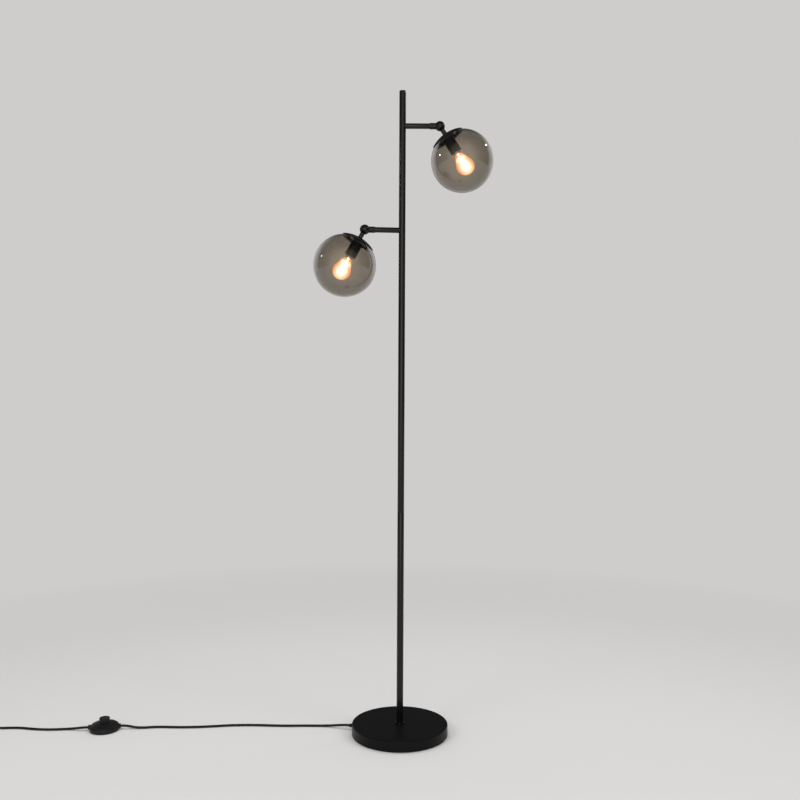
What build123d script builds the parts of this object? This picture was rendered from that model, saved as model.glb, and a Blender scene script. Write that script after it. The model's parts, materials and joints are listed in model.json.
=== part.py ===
from build123d import *
import os
from math import acos, atan2, cos, hypot, pi, radians, sin, sqrt, tan

# Floor lamp with two smoked glass globes, millimetres, +Z up.
# The origin is on the floor under the pole. The pole stands on Z, the upper arm points along +X,
# and each lamp head turns on a friction knuckle at the end of its arm.

os.makedirs("parts", exist_ok=True)

# ---------------------------------------------------------------- base
base_d = 230.0              # round foot, outside
base_top = 26.5             # top of the foot above the floor
cover_t = 1.5               # pressed steel cover
cover_lift = 1.5            # gap between the cover's edge and the floor
cover_edge_r = 2.0          # rounded top edge
pad_t = 3.5                 # foam pad that the foot stands on
pad_inset = 9.0             # pad's edge inside the plate's edge
pad_edge_r = 0.7
pad_screw_play = 1.0        # pad's holes around the screw heads
plate_t = 1.0               # steel bottom plate
plate_inset = 1.5           # plate's edge inside the weight's edge
plate_screw_inset = 40.0    # screws, from the foot's rim
plate_screw_count = 3
weight_gap = 0.5            # between the weight and the cover's wall
pocket_d = 44.0             # pocket for the nut under the weight
pocket_h = 12.5
duct_w = 11.0               # cord duct from the pocket to the rim
duct_h = 10.5
bay_w = 21.0                # wider bay of the duct, for the terminal block
bay_length = 32.0
bay_inset = 11.0            # bay's outer end, from the foot's rim

# ---------------------------------------------------------------- pole
pole_d = 16.0
pole_t = 1.0
section_length = 507.0
section_count = 3
section_chamfer = 0.4
insert_length = 22.0        # threaded inserts pressed into the tube ends
nipple_d = 10.0             # hollow threaded tube that joins the sections
nipple_bore_d = 7.0
nipple_length = 36.0
base_nut_h = 6.0
base_nut_flats = 16.0
base_nut_flange_d = 22.0
base_nut_flange_t = 1.5
nipple_tail = 1.5           # base nipple below its nut
nipple_play = 0.2           # around the nipple in the sheet metal
collar_d = 24.5
collar_h = 2.5
collar_play = 0.05
cap_flange_t = 1.5          # closing cap on the pole's top
cap_spigot = 10.0
cap_edge_r = 0.9

# ---------------------------------------------------------------- arms and knuckles
arm_d = 13.0
arm_t = 1.0
arm_reach = 90.0            # pole axis to knuckle axis
arm_drops = {"upper": 83.0, "lower": 334.5}      # arms below the tube's top end
arm_turns = {"upper": 0.0, "lower": 185.5}       # direction seen from above, from +X
head_tilts = {"upper": 33.0, "lower": 28.8}      # from hanging straight down, outwards
head_tilt_most = 120.0      # outward end of the tilt, from hanging straight down
wire_hole_d = 7.0           # in the pole behind each arm
ball_d = 24.0
ball_gap = 0.4              # between the two halves of the ball
ball_clear = 0.4            # between a half and the other half's stem
shank_d = 15.0              # fixed half's sleeve around the arm
shank_length = 24.5         # knuckle axis to the sleeve's end
socket_depth = 9.0          # arm in the sleeve
shank_bore_d = 6.0
neck_d = 11.0
ring_inner_d = 13.6         # ring-shaped hollow for the wires around the ball's hub
ring_outer_d = 18.0
ring_depth = 5.0
pivot_d = 4.0
pivot_play = 0.06
pivot_head_d = 7.2
pivot_head_h = 2.2
pivot_head_play = 0.3
pivot_seat = 8.0            # head's seat from the ball's middle
pivot_end = 8.5             # blind end of the screw in the fixed half
washer_d = 7.6
washer_t = 0.36
washer_play = 0.3
stop_ring_d = 9.8           # stop nub and its groove
stop_nub_d = 1.5
stop_nub_h = 1.2
stop_groove_w = 1.6
stop_groove_depth = 1.4
stop_angle = 90.0           # nub, from the arm's direction
grub_d = 3.0
grub_length = 2.0
grub_depth = 4.9            # grub screw's tip, from the arm's axis
grub_place = 20.0           # grub screw, from the knuckle axis

# ---------------------------------------------------------------- lamp heads
cap_top = 23.3              # top of the cap, from the knuckle axis
cap_flatter = 9.0           # cap's radius of curvature, over the globe's
cap_t = 1.0
cap_rim_d = 82.0
head_nipple_d = 8.0
head_nipple_bore_d = 5.2
head_nipple_start = 15.0
head_nipple_in_holder = 5.0
nipple_hole_play = 0.2
globe_d = 150.0
globe_t = 2.0
mouth_at = 32.5             # globe's mouth, from the knuckle axis
mouth_d = 58.0              # clear opening of the globe
seal_inner_d = 60.4
seal_outer_d = 66.8
seal_play = 0.1             # under the cap
clip_hub_d = 30.0
clip_hub_t = 0.8
clip_arm_w = 8.0
clip_arm_t = 0.6
clip_arms = 3
clip_drop_r = 27.2          # where each arm turns down through the mouth
clip_cap_play = 0.2         # arms under the cap
clip_hook_play = 0.3        # hook under the glass
clip_hook_below = 3.2       # hook's knee below the mouth
clip_tail = 4.2
holder_d = 28.0
holder_end = 74.0           # open end, from the knuckle axis
holder_wall = 1.5
holder_roof = 4.0
holder_room_end = 44.0      # wiring room
holder_web_end = 52.0       # floor that carries the contacts
holder_edge_r = 0.8
shell_d = 16.2              # threaded brass shell
shell_wall = 0.9
shell_length = 19.0
shell_floor_t = 0.8
contact_d = 5.0
contact_h = 3.9
bulb_start = 56.0           # bulb's end contact, from the knuckle axis
bulb_contact_h = 1.2
bulb_glass_skirt = 3.0      # glass insulator above the contact
bulb_thread_d = 13.8
bulb_thread_end = 76.0
bulb_collar_d = 17.4
bulb_collar_end = 80.5
bulb_ball_d = 45.0
bulb_ball_centre = 113.5
bulb_neck_d = 16.4
bulb_neck_start = 77.0
bulb_glass_t = 0.8
stem_d = 6.0
stem_top = 92.0
mast_d = 1.6
spider_d = 13.0
spider_t = 0.8
filament_d = 1.8
filament_ring_d = 10.0
filament_count = 4
filament_start = 99.0
filament_length = 22.0

# ---------------------------------------------------------------- wires, cord, switch and plug
wire_d = 2.1
wire_pitch = 2.4            # between the wires of the pole
head_wire_pitch = 2.4
wire_low = 5.6              # upper arm's wires under the nipple, from the floor
wire_step = 2.2             # lower arm's wires above them
wire_bend_r = 1.9
block_length = 22.0         # terminal block in the base
block_w = 18.0
block_h = 9.0
cord_d = 5.6
cord_bore_play = 0.05
exit_turn = 167.5           # cord exit, seen from above, from +X
exit_h = 9.5
gland_bore_wall_d = 8.8     # hole in the cover's wall
gland_tail_d = 9.4
gland_tail = 10.5           # inner end, from the foot's rim
gland_flange_d = 12.0
gland_flange_t = 3.0
gland_end_d = 7.6
gland_reach = 11.0          # gland outside the cover
exit_straight = 14.0        # straight cord outside the gland
bend_share = 0.45           # of a corner's shorter run, taken by its arc

switch_x, switch_y, switch_turn = -716.9, 16.2, 8.25
switch_d = 70.0
switch_split = 8.0          # height of the joint between its halves
switch_top = 21.0
switch_wall = 2.0
switch_floor = 3.0
switch_edge_r = 1.2
snout_d = 10.8
snout_reach = 37.8          # snouts, from the switch's middle
cord_in_switch = 28.0       # cord's end inside, from the middle
switch_straight = 50.0      # end of the straight cord at the switch, from the middle
boss_d = 6.8
boss_ring_d = 52.0
boss_top = 14.0
boss_count = 3
screw_core_d = 2.5
screw_clear_d = 3.2
screw_head_d = 5.6
screw_head_h = 1.5
screw_head_sink = 0.3
screw_length = 8.7
switch_block_l, switch_block_w, switch_block_top = 24.0, 16.0, 11.5
well_d = 6.8
well_floor = 5.5
button_d = 24.6
button_top = 30.0
button_play = 0.3
button_wall = 2.0
button_dish = 0.7
button_dish_d = 19.0
button_edge_r = 1.2
button_flange_d = 27.6
button_flange_t = 1.75
button_foot = 15.9
plunger_d = 6.0
plunger_foot = 10.2
spring_d = 10.0
spring_wire_d = 0.9
spring_turns = 7
spring_seat_play = 0.05

coil_x, coil_y = -1034.0, -20.0
coil_mean_d = 62.4
coil_tracks, coil_layers = 3, 2                  # turns side by side, and on top of each other
coil_pitch = cord_d + 0.2   # one turn to the next
coil_entry = 28.0           # coil's tail towards the switch
lead_drop = (14.0, 14.0, 14.0)                   # runs of the tail towards the plug
lead_shift = 1.5
plug_axis_h = 7.0
relief_length = 24.0
relief_start_d = 7.2
relief_end_d = 10.4
plug_length = 28.0
plug_w = 35.0
plug_w_back = 14.0
plug_shoulder = 10.0
plug_h = 14.0
plug_edge_r = 3.0
pin_d = 4.0
pin_length = 19.0
pin_spacing = 18.6
pin_root_d = 3.2
pin_root_length = 5.0
pin_tip_r = 1.0

# Cord routes on the floor, seen from above: places chosen by hand along the lamp's own cord.
floor_z = cord_d / 2
switch_axis_z = switch_split
base_cord_floor = [
    (-176.0, 42.0), (-232.0, 42.2), (-290.0, 40.0), (-348.0, 44.6), (-412.0, 43.4),
    (-478.0, 31.2), (-536.0, 27.2), (-592.0, 30.8), (-636.0, 21.8),
]
switch_cord_floor = [(-797.0, 14.5), (-850.0, 8.0), (-892.0, 12.5), (-925.0, 20.5), (-966.0, 17.0)]

# ---------------------------------------------------------------- places that follow from the sizes
up = Vector(0, 0, 1)
plate_bottom = pad_t
plate_top = plate_bottom + plate_t
cover_under = base_top - cover_t
weight_d = base_d - 2 * (cover_t + weight_gap)
plate_d = weight_d - 2 * plate_inset
plate_screw_ring_d = base_d - 2 * plate_screw_inset
bay_far = base_d / 2 - bay_inset
bay_near = bay_far - bay_length
gland_tail_start = base_d / 2 - gland_tail
pocket_top = plate_top + pocket_h
pole_bore_d = pole_d - 2 * pole_t
section_starts = [base_top + k * section_length for k in range(section_count)]
pole_top = base_top + section_count * section_length
arm_heights = {name: pole_top - drop for name, drop in arm_drops.items()}
exit_dir = Vector(cos(radians(exit_turn)), sin(radians(exit_turn)), 0)
exit_across = up.cross(exit_dir)
switch_dir = Vector(cos(radians(switch_turn)), sin(radians(switch_turn)), 0)
switch_plane = Plane(origin=(switch_x, switch_y, 0), x_dir=switch_dir, z_dir=up)
duct_plane = Plane(origin=(0, 0, plate_top), x_dir=exit_dir, z_dir=up)
socket_start = arm_reach - shank_length + socket_depth      # arm's end, from the pole axis


def save(piece, label):
    """Names a finished piece and writes it."""
    piece.part.label = label
    export_step(piece.part, f"parts/{label}.step")


def section_at(distance, direction, start=Vector(0, 0, 0)):
    """Plane across a direction, at a distance along it from a start point."""
    return Plane(origin=start + direction * distance, z_dir=direction)


# ================================================================ base
with BuildPart() as base_cover:
    with BuildSketch(Plane.XY.offset(cover_lift)):
        Circle(base_d / 2)
    extrude(amount=base_top - cover_lift)
    fillet(base_cover.edges().group_by(Axis.Z)[-1], radius=cover_edge_r)
    with BuildSketch(Plane.XY.offset(cover_lift)):
        Circle(base_d / 2 - cover_t)
    extrude(amount=cover_under - cover_lift, mode=Mode.SUBTRACT)
    with BuildSketch(Plane.XY.offset(cover_under)):
        Circle(nipple_d / 2 + nipple_play)
    extrude(amount=cover_t, mode=Mode.SUBTRACT)
    with BuildSketch(section_at(base_d / 4, exit_dir, up * exit_h)):
        Circle(gland_bore_wall_d / 2)
    extrude(amount=base_d / 2, mode=Mode.SUBTRACT)
save(base_cover, "base_cover")

with BuildPart() as base_weight:
    with BuildSketch(Plane.XY.offset(plate_top)):
        Circle(weight_d / 2)
    extrude(amount=cover_under - plate_top)
    with BuildSketch(Plane.XY.offset(plate_top)):
        Circle(pocket_d / 2)
    extrude(amount=pocket_h, mode=Mode.SUBTRACT)
    with BuildSketch(duct_plane):
        with Locations((weight_d / 4, 0)):
            Rectangle(weight_d / 2 + cover_t, duct_w)
        with Locations(((bay_near + bay_far) / 2, 0)):
            Rectangle(bay_far - bay_near, bay_w)
    extrude(amount=duct_h, mode=Mode.SUBTRACT)
    with BuildSketch(Plane.XY.offset(pocket_top)):
        Circle(nipple_d / 2 + nipple_play)
    extrude(amount=cover_under - pocket_top, mode=Mode.SUBTRACT)
    with BuildSketch(Plane.XY.offset(plate_top)):
        with PolarLocations(plate_screw_ring_d / 2, plate_screw_count):
            Circle(screw_core_d / 2)
    extrude(amount=screw_length, mode=Mode.SUBTRACT)
save(base_weight, "base_weight")

with BuildPart() as bottom_plate:
    with BuildSketch(Plane.XY.offset(plate_bottom)):
        Circle(plate_d / 2)
        with PolarLocations(plate_screw_ring_d / 2, plate_screw_count):
            Circle(screw_clear_d / 2, mode=Mode.SUBTRACT)
    extrude(amount=plate_t)
save(bottom_plate, "bottom_plate")

with BuildPart() as plate_screws:
    with BuildSketch(Plane.XY.offset(plate_bottom - screw_head_h)):
        with PolarLocations(plate_screw_ring_d / 2, plate_screw_count):
            Circle(screw_head_d / 2)
    extrude(amount=screw_head_h)
    with BuildSketch(Plane.XY.offset(plate_bottom)):
        with PolarLocations(plate_screw_ring_d / 2, plate_screw_count):
            Circle(screw_core_d / 2)
    extrude(amount=screw_length)
save(plate_screws, "plate_screws")

with BuildPart() as base_pad:
    with BuildSketch():
        Circle(plate_d / 2 - pad_inset)
    extrude(amount=pad_t)
    fillet(base_pad.edges().group_by(Axis.Z)[0], radius=pad_edge_r)
    with BuildSketch():
        with PolarLocations(plate_screw_ring_d / 2, plate_screw_count):
            Circle(screw_head_d / 2 + pad_screw_play)
    extrude(amount=pad_t, mode=Mode.SUBTRACT)
save(base_pad, "base_pad")

nut_bottom = pocket_top - base_nut_h
with BuildPart() as base_nut:
    with BuildSketch(Plane.XY.offset(nut_bottom)):
        RegularPolygon(base_nut_flats / 2, 6, major_radius=False)
    extrude(amount=base_nut_h)
    with BuildSketch(Plane.XY.offset(pocket_top - base_nut_flange_t)):
        Circle(base_nut_flange_d / 2)
    extrude(amount=base_nut_flange_t)
    with BuildSketch(Plane.XY.offset(nut_bottom)):
        Circle(nipple_d / 2)
    extrude(amount=base_nut_h, mode=Mode.SUBTRACT)
save(base_nut, "base_nut")

nipple_bottom = nut_bottom - nipple_tail
with BuildPart() as base_nipple:
    with BuildSketch(Plane.XY.offset(nipple_bottom)):
        Circle(nipple_d / 2)
        Circle(nipple_bore_d / 2, mode=Mode.SUBTRACT)
    extrude(amount=base_top + nipple_length / 2 - nipple_bottom)
save(base_nipple, "base_nipple")

with BuildPart() as foot_collar:
    with BuildSketch(Plane.XY.offset(base_top)):
        Circle(collar_d / 2)
    extrude(amount=collar_h)
    fillet(foot_collar.edges().group_by(Axis.Z)[-1], radius=collar_h / 4)
    with BuildSketch(Plane.XY.offset(base_top)):
        Circle(pole_d / 2 + collar_play)
    extrude(amount=collar_h, mode=Mode.SUBTRACT)
save(foot_collar, "foot_collar")

# ================================================================ pole
arm_dirs = {name: Vector(cos(radians(turn)), sin(radians(turn)), 0) for name, turn in arm_turns.items()}
for name, start in zip(("pole_lower", "pole_middle", "pole_upper"), section_starts):
    with BuildPart() as pole_section:
        with BuildSketch(Plane.XY.offset(start)):
            Circle(pole_d / 2)
        extrude(amount=section_length)
        chamfer(pole_section.edges(), length=section_chamfer)
        with BuildSketch(Plane.XY.offset(start)):
            Circle(pole_bore_d / 2)
        extrude(amount=section_length, mode=Mode.SUBTRACT)
        for side, direction in arm_dirs.items():
            if start < arm_heights[side] < start + section_length:
                with BuildSketch(section_at(0, direction, up * arm_heights[side])):
                    Circle(wire_hole_d / 2)
                extrude(amount=pole_d, mode=Mode.SUBTRACT)
    save(pole_section, name)

with BuildPart() as section_inserts:
    for seam in section_starts:
        below = insert_length if seam > base_top else 0
        for start in (seam, seam - below):
            with BuildSketch(Plane.XY.offset(start)):
                Circle(pole_bore_d / 2)
                Circle(nipple_d / 2, mode=Mode.SUBTRACT)
            extrude(amount=insert_length)
    for seam in section_starts[1:]:
        split(bisect_by=Plane.XY.offset(seam), keep=Keep.BOTH)
save(section_inserts, "section_inserts")

with BuildPart() as section_nipples:
    for seam in section_starts[1:]:
        with BuildSketch(Plane.XY.offset(seam - nipple_length / 2)):
            Circle(nipple_d / 2)
            Circle(nipple_bore_d / 2, mode=Mode.SUBTRACT)
        extrude(amount=nipple_length)
save(section_nipples, "section_nipples")

with BuildPart() as pole_plug:
    with BuildSketch(Plane.XY.offset(pole_top)):
        Circle(pole_d / 2)
    extrude(amount=cap_flange_t)
    fillet(pole_plug.edges().group_by(Axis.Z)[-1], radius=cap_edge_r)
    with BuildSketch(Plane.XY.offset(pole_top - cap_spigot)):
        Circle(pole_bore_d / 2)
    extrude(amount=cap_spigot)
save(pole_plug, "pole_plug")


# ================================================================ arms, knuckles and lamp heads
def cap_depth(radius, r):
    """How far a dome of that curvature has fallen at distance r from its top."""
    return radius - sqrt(radius**2 - r**2)


def half_ball(dome, stem, stem_d, stem_length):
    """One half of the ball with its stem. The dome stands on a plane, clear of the other half."""
    face = dome.offset(ball_gap / 2)
    with BuildPart() as half:
        with Locations(dome):
            Sphere(ball_d / 2)
        with BuildSketch(stem):
            Circle(stem_d / 2)
        extrude(amount=stem_length)
        with Locations(face):
            Sphere(ball_d / 2 + ball_clear, arc_size1=-90, arc_size2=0, align=None, mode=Mode.SUBTRACT)
        with BuildSketch(face):
            Circle(ring_outer_d / 2)
            Circle(ring_inner_d / 2, mode=Mode.SUBTRACT)
        extrude(amount=ring_depth, mode=Mode.SUBTRACT)
    return half.part


def bulb_outline(ball_r, neck_r):
    """Closed half outline of the bulb's glass: a ball, a straight taper to the neck, and the axis."""
    far = hypot(neck_r, bulb_ball_centre - bulb_collar_end)
    turn = atan2(neck_r, bulb_ball_centre - bulb_collar_end) + acos(ball_r / far)
    touch = (ball_r * sin(turn), bulb_ball_centre - ball_r * cos(turn))
    end = (0, bulb_ball_centre + ball_r)
    with BuildSketch() as outline:
        with BuildLine():
            Polyline((0, bulb_neck_start), (neck_r, bulb_neck_start), (neck_r, bulb_collar_end), touch)
            ThreePointArc(touch, (ball_r, bulb_ball_centre), end)
            Line(end, (0, bulb_neck_start))
        make_face()
    return outline.sketch


grub_screws, pivot_screws, washers, wire_routes = [], [], [], []
globe_centre = mouth_at + sqrt((globe_d / 2 - globe_t) ** 2 - (mouth_d / 2) ** 2)
cap_r = globe_d / 2 + cap_flatter
neck_length = cap_top + cap_depth(cap_r, head_nipple_d / 2 + nipple_hole_play)
cap_inner_r = cap_r - cap_t
cap_under = cap_top + cap_t
clip_top = cap_under + cap_depth(cap_inner_r, clip_hub_d / 2)
holder_start = clip_top + clip_hub_t

for name, arm_dir in arm_dirs.items():
    height, tilt = arm_heights[name], radians(head_tilts[name])
    at_pole = up * height
    pivot = at_pole + arm_dir * arm_reach
    hinge = arm_dir.cross(up)
    head = arm_dir * sin(tilt) - up * cos(tilt)
    head_axis = Axis(pivot, head)
    profile = Plane(origin=pivot, x_dir=head.cross(hinge), z_dir=hinge)
    moving_side = Plane(origin=pivot, x_dir=arm_dir, z_dir=hinge)
    fixed_side = Plane(origin=pivot, x_dir=arm_dir, z_dir=-hinge)

    # ---- fixed to the pole
    with BuildPart() as arm:
        with BuildSketch(section_at(0, arm_dir, at_pole)):
            Circle(arm_d / 2)
            Circle(arm_d / 2 - arm_t, mode=Mode.SUBTRACT)
        extrude(amount=socket_start)
        with Locations(at_pole):
            Cylinder(pole_d / 2, 2 * arm_d, mode=Mode.SUBTRACT)
        with BuildSketch(section_at(0, -up, pivot - arm_dir * grub_place)):
            Circle(grub_d / 2)
        extrude(amount=arm_d, mode=Mode.SUBTRACT)
    save(arm, f"{name}_arm")

    with BuildPart() as arm_knuckle:
        add(half_ball(fixed_side, section_at(0, -arm_dir, pivot), shank_d, shank_length))
        with BuildSketch(section_at(shank_length - socket_depth, -arm_dir, pivot)):
            Circle(arm_d / 2)
        extrude(amount=socket_depth, mode=Mode.SUBTRACT)
        with BuildSketch(section_at(ring_inner_d / 2, -arm_dir, pivot)):
            Circle(shank_bore_d / 2)
        extrude(amount=shank_length - ring_inner_d / 2, mode=Mode.SUBTRACT)
        with BuildSketch(fixed_side.offset(ball_gap / 2)):
            Circle(pivot_d / 2)
        extrude(amount=pivot_end - ball_gap / 2, mode=Mode.SUBTRACT)
        with BuildSketch(section_at(0, -up, pivot - arm_dir * grub_place)):
            Circle(grub_d / 2)
        extrude(amount=arm_d, mode=Mode.SUBTRACT)
        with BuildSketch(moving_side.offset(-ball_gap / 2)):
            with PolarLocations(stop_ring_d / 2, 1, start_angle=stop_angle):
                Circle(stop_nub_d / 2)
        extrude(amount=stop_nub_h)
    save(arm_knuckle, f"{name}_arm_knuckle")
    grub_screws.append(section_at(grub_depth, -up, pivot - arm_dir * grub_place))
    pivot_screws.append(moving_side)
    washers.append(moving_side)
    wire_routes.append((name, arm_dir, at_pole, hinge))

    # ---- turning with the head
    groove_start = stop_angle + head_tilts[name] - head_tilt_most
    stop_arc = CenterArc((0, 0), stop_ring_d / 2, groove_start, head_tilt_most)
    with BuildPart() as head_knuckle:
        add(half_ball(moving_side, section_at(0, head, pivot), neck_d, neck_length))
        with BuildSketch(section_at(ring_inner_d / 2, head, pivot)):
            Circle(head_nipple_bore_d / 2)
        extrude(amount=head_nipple_start - ring_inner_d / 2, mode=Mode.SUBTRACT)
        with BuildSketch(section_at(head_nipple_start, head, pivot)):
            Circle(head_nipple_d / 2)
        extrude(amount=neck_length - head_nipple_start, mode=Mode.SUBTRACT)
        with BuildSketch(moving_side):
            Circle(pivot_d / 2 + pivot_play)
        extrude(amount=ball_d / 2, mode=Mode.SUBTRACT)
        with BuildSketch(moving_side.offset(pivot_seat)):
            Circle(pivot_head_d / 2 + pivot_head_play)
        extrude(amount=ball_d / 2 - pivot_seat, mode=Mode.SUBTRACT)
        with BuildSketch(moving_side.offset(ball_gap / 2)):
            SlotArc(stop_arc, stop_groove_w)
        extrude(amount=stop_groove_depth, mode=Mode.SUBTRACT)
    save(head_knuckle, f"{name}_head_knuckle")

    with BuildPart() as head_nipple:
        with BuildSketch(section_at(head_nipple_start, head, pivot)):
            Circle(head_nipple_d / 2)
            Circle(head_nipple_bore_d / 2, mode=Mode.SUBTRACT)
        extrude(amount=holder_start + head_nipple_in_holder - head_nipple_start)
    save(head_nipple, f"{name}_head_nipple")

    with BuildPart() as cap:
        with BuildSketch(profile):
            hole_r, rim_r = head_nipple_d / 2 + nipple_hole_play, cap_rim_d / 2
            mid_r = rim_r / 2
            outer = [(r, cap_top + cap_depth(cap_r, r)) for r in (hole_r, mid_r, rim_r)]
            inner = [(r, cap_under + cap_depth(cap_inner_r, r)) for r in (hole_r, mid_r, rim_r)]
            with BuildLine():
                ThreePointArc(*outer)
                ThreePointArc(*inner)
                Line(outer[0], inner[0])
                Line(outer[2], inner[2])
            make_face()
        revolve(axis=head_axis)
    save(cap, f"{name}_cap")

    with BuildPart() as seal:
        with BuildSketch(profile):
            with BuildLine():
                seal_in, seal_out = seal_inner_d / 2, seal_outer_d / 2
                Polyline(
                    (seal_in, mouth_at),
                    (seal_in, cap_under + cap_depth(cap_inner_r, seal_in) + seal_play),
                    (seal_out, cap_under + cap_depth(cap_inner_r, seal_out) + seal_play),
                    (seal_out, mouth_at),
                    close=True,
                )
            make_face()
        revolve(axis=head_axis)
    save(seal, f"{name}_seal")

    with BuildPart() as spring_clip:
        with BuildSketch(section_at(clip_top, head, pivot)):
            Circle(clip_hub_d / 2)
            Circle(head_nipple_d / 2 + nipple_hole_play, mode=Mode.SUBTRACT)
        extrude(amount=clip_hub_t)
        dish_at_drop = cap_under + cap_depth(cap_inner_r, clip_drop_r + clip_arm_t)
        drop_at = dish_at_drop + clip_arm_t / 2 + clip_cap_play
        knee = mouth_at + clip_hook_below
        knee_r = sqrt((globe_d / 2 - globe_t) ** 2 - (globe_centre - knee) ** 2) - clip_arm_t - clip_hook_play
        for k in range(clip_arms):
            outwards = head.cross(hinge).rotate(Axis((0, 0, 0), head), k * 360 / clip_arms)
            across = outwards.cross(head)
            with BuildSketch(Plane(origin=pivot, x_dir=outwards, z_dir=across)):
                with BuildLine():
                    arm_line = Polyline(
                        (clip_hub_d / 2 - clip_arm_t, clip_top + clip_hub_t / 2),
                        (clip_drop_r, drop_at),
                        (clip_drop_r, mouth_at),
                        (knee_r, knee),
                        (clip_drop_r, knee + clip_tail),
                    )
                    offset(arm_line, amount=clip_arm_t / 2, side=Side.BOTH)
                make_face()
            extrude(amount=clip_arm_w / 2, both=True)
    save(spring_clip, f"{name}_spring_clip")

    with BuildPart() as globe:
        with BuildSketch(profile):
            outer_r, inner_r = globe_d / 2, globe_d / 2 - globe_t
            lip = globe_centre - mouth_at
            outer_lip = (sqrt(outer_r**2 - lip**2), mouth_at)
            inner_lip = (sqrt(inner_r**2 - lip**2), mouth_at)
            with BuildLine():
                ThreePointArc(outer_lip, (outer_r, globe_centre), (0, globe_centre + outer_r))
                Line((0, globe_centre + outer_r), (0, globe_centre + inner_r))
                ThreePointArc((0, globe_centre + inner_r), (inner_r, globe_centre), inner_lip)
                Line(inner_lip, outer_lip)
            make_face()
        revolve(axis=head_axis)
    save(globe, f"{name}_globe")

    with BuildPart() as lampholder:
        with BuildSketch(section_at(holder_start, head, pivot)):
            Circle(holder_d / 2)
        extrude(amount=holder_end - holder_start)
        fillet(lampholder.edges(), radius=holder_edge_r)
        with BuildSketch(section_at(holder_start, head, pivot)):
            Circle(head_nipple_d / 2)
        extrude(amount=holder_roof, mode=Mode.SUBTRACT)
        with BuildSketch(section_at(holder_start + holder_roof, head, pivot)):
            Circle(holder_d / 2 - holder_wall)
        extrude(amount=holder_room_end - holder_start - holder_roof, mode=Mode.SUBTRACT)
        with BuildSketch(section_at(holder_web_end, head, pivot)):
            Circle(shell_d / 2)
        extrude(amount=holder_end - holder_web_end, mode=Mode.SUBTRACT)
    save(lampholder, f"{name}_lampholder")

    with BuildPart() as contacts:
        with BuildSketch(section_at(holder_web_end, head, pivot)):
            Circle(shell_d / 2)
        extrude(amount=shell_length)
        with BuildSketch(section_at(holder_web_end + shell_floor_t, head, pivot)):
            Circle(shell_d / 2 - shell_wall)
        extrude(amount=shell_length - shell_floor_t, mode=Mode.SUBTRACT)
        with BuildSketch(section_at(holder_web_end, head, pivot)):
            Circle(contact_d)
        extrude(amount=shell_floor_t, mode=Mode.SUBTRACT)
        with BuildSketch(section_at(holder_web_end, head, pivot)):
            Circle(contact_d / 2)
        extrude(amount=contact_h)
    save(contacts, f"{name}_contacts")

    with BuildPart() as bulb_cap:
        with BuildSketch(profile):
            insulator = bulb_start + bulb_contact_h
            thread_start = insulator + bulb_glass_skirt
            with BuildLine():
                Polyline(
                    (0, bulb_start), (contact_d / 2, bulb_start), (contact_d / 2, insulator),
                    (bulb_thread_d / 2, thread_start), (bulb_thread_d / 2, bulb_thread_end),
                    (bulb_collar_d / 2, bulb_thread_end), (bulb_collar_d / 2, bulb_collar_end),
                    (bulb_neck_d / 2, bulb_collar_end), (bulb_neck_d / 2, bulb_neck_start),
                    (0, bulb_neck_start), close=True,
                )
            make_face()
        revolve(axis=head_axis)
    save(bulb_cap, f"{name}_bulb_cap")

    with BuildPart() as bulb_glass:
        with BuildSketch(profile):
            add(bulb_outline(bulb_ball_d / 2, bulb_neck_d / 2))
            inside = bulb_outline(bulb_ball_d / 2 - bulb_glass_t, bulb_neck_d / 2 - bulb_glass_t)
            add(inside, mode=Mode.SUBTRACT)
        revolve(axis=head_axis)
    save(bulb_glass, f"{name}_bulb_glass")

    with BuildPart() as filaments:
        filament_end = filament_start + filament_length
        with BuildSketch(profile):
            with BuildLine():
                Polyline(
                    (0, bulb_neck_start), (stem_d / 2, bulb_neck_start), (mast_d / 2, stem_top),
                    (mast_d / 2, filament_end + spider_t), (0, filament_end + spider_t), close=True,
                )
            make_face()
        revolve(axis=head_axis)
        for place in (filament_start - spider_t, filament_end):
            with BuildSketch(section_at(place, head, pivot)):
                Circle(spider_d / 2)
            extrude(amount=spider_t)
        with BuildSketch(section_at(filament_start, head, pivot)):
            with PolarLocations(filament_ring_d / 2, filament_count):
                Circle(filament_d / 2)
        extrude(amount=filament_length)
    save(filaments, f"{name}_filaments")

    with BuildPart() as head_wires:
        with BuildSketch(Plane(origin=pivot + head * (ball_d / 2 + ball_clear), x_dir=hinge, z_dir=head)):
            with GridLocations(head_wire_pitch, 0, 2, 1):
                Circle(wire_d / 2)
        extrude(amount=holder_room_end - ball_d / 2 - ball_clear)
    save(head_wires, f"{name}_head_wires")

with BuildPart() as arm_grub_screws:
    for place in grub_screws:
        with BuildSketch(place):
            Circle(grub_d / 2)
        extrude(amount=grub_length)
        with BuildSketch(place.offset(grub_length / 2)):
            RegularPolygon(grub_d / 4, 6)
        extrude(amount=grub_length / 2, mode=Mode.SUBTRACT)
save(arm_grub_screws, "arm_grub_screws")

with BuildPart() as knuckle_screws:
    for place in pivot_screws:
        with BuildSketch(place.offset(-pivot_end)):
            Circle(pivot_d / 2)
        extrude(amount=pivot_end + pivot_seat)
        with BuildSketch(place.offset(pivot_seat)):
            Circle(pivot_head_d / 2)
        extrude(amount=pivot_head_h)
        with BuildSketch(place.offset(pivot_seat + pivot_head_h / 2)):
            RegularPolygon(pivot_head_d / 4, 6)
        extrude(amount=pivot_head_h / 2, mode=Mode.SUBTRACT)
save(knuckle_screws, "knuckle_screws")

with BuildPart() as friction_washers:
    for place in washers:
        with BuildSketch(place.offset(-ball_gap / 2)):
            Circle(washer_d / 2)
            Circle(pivot_d / 2 + washer_play, mode=Mode.SUBTRACT)
        extrude(amount=washer_t)
save(friction_washers, "friction_washers")

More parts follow.
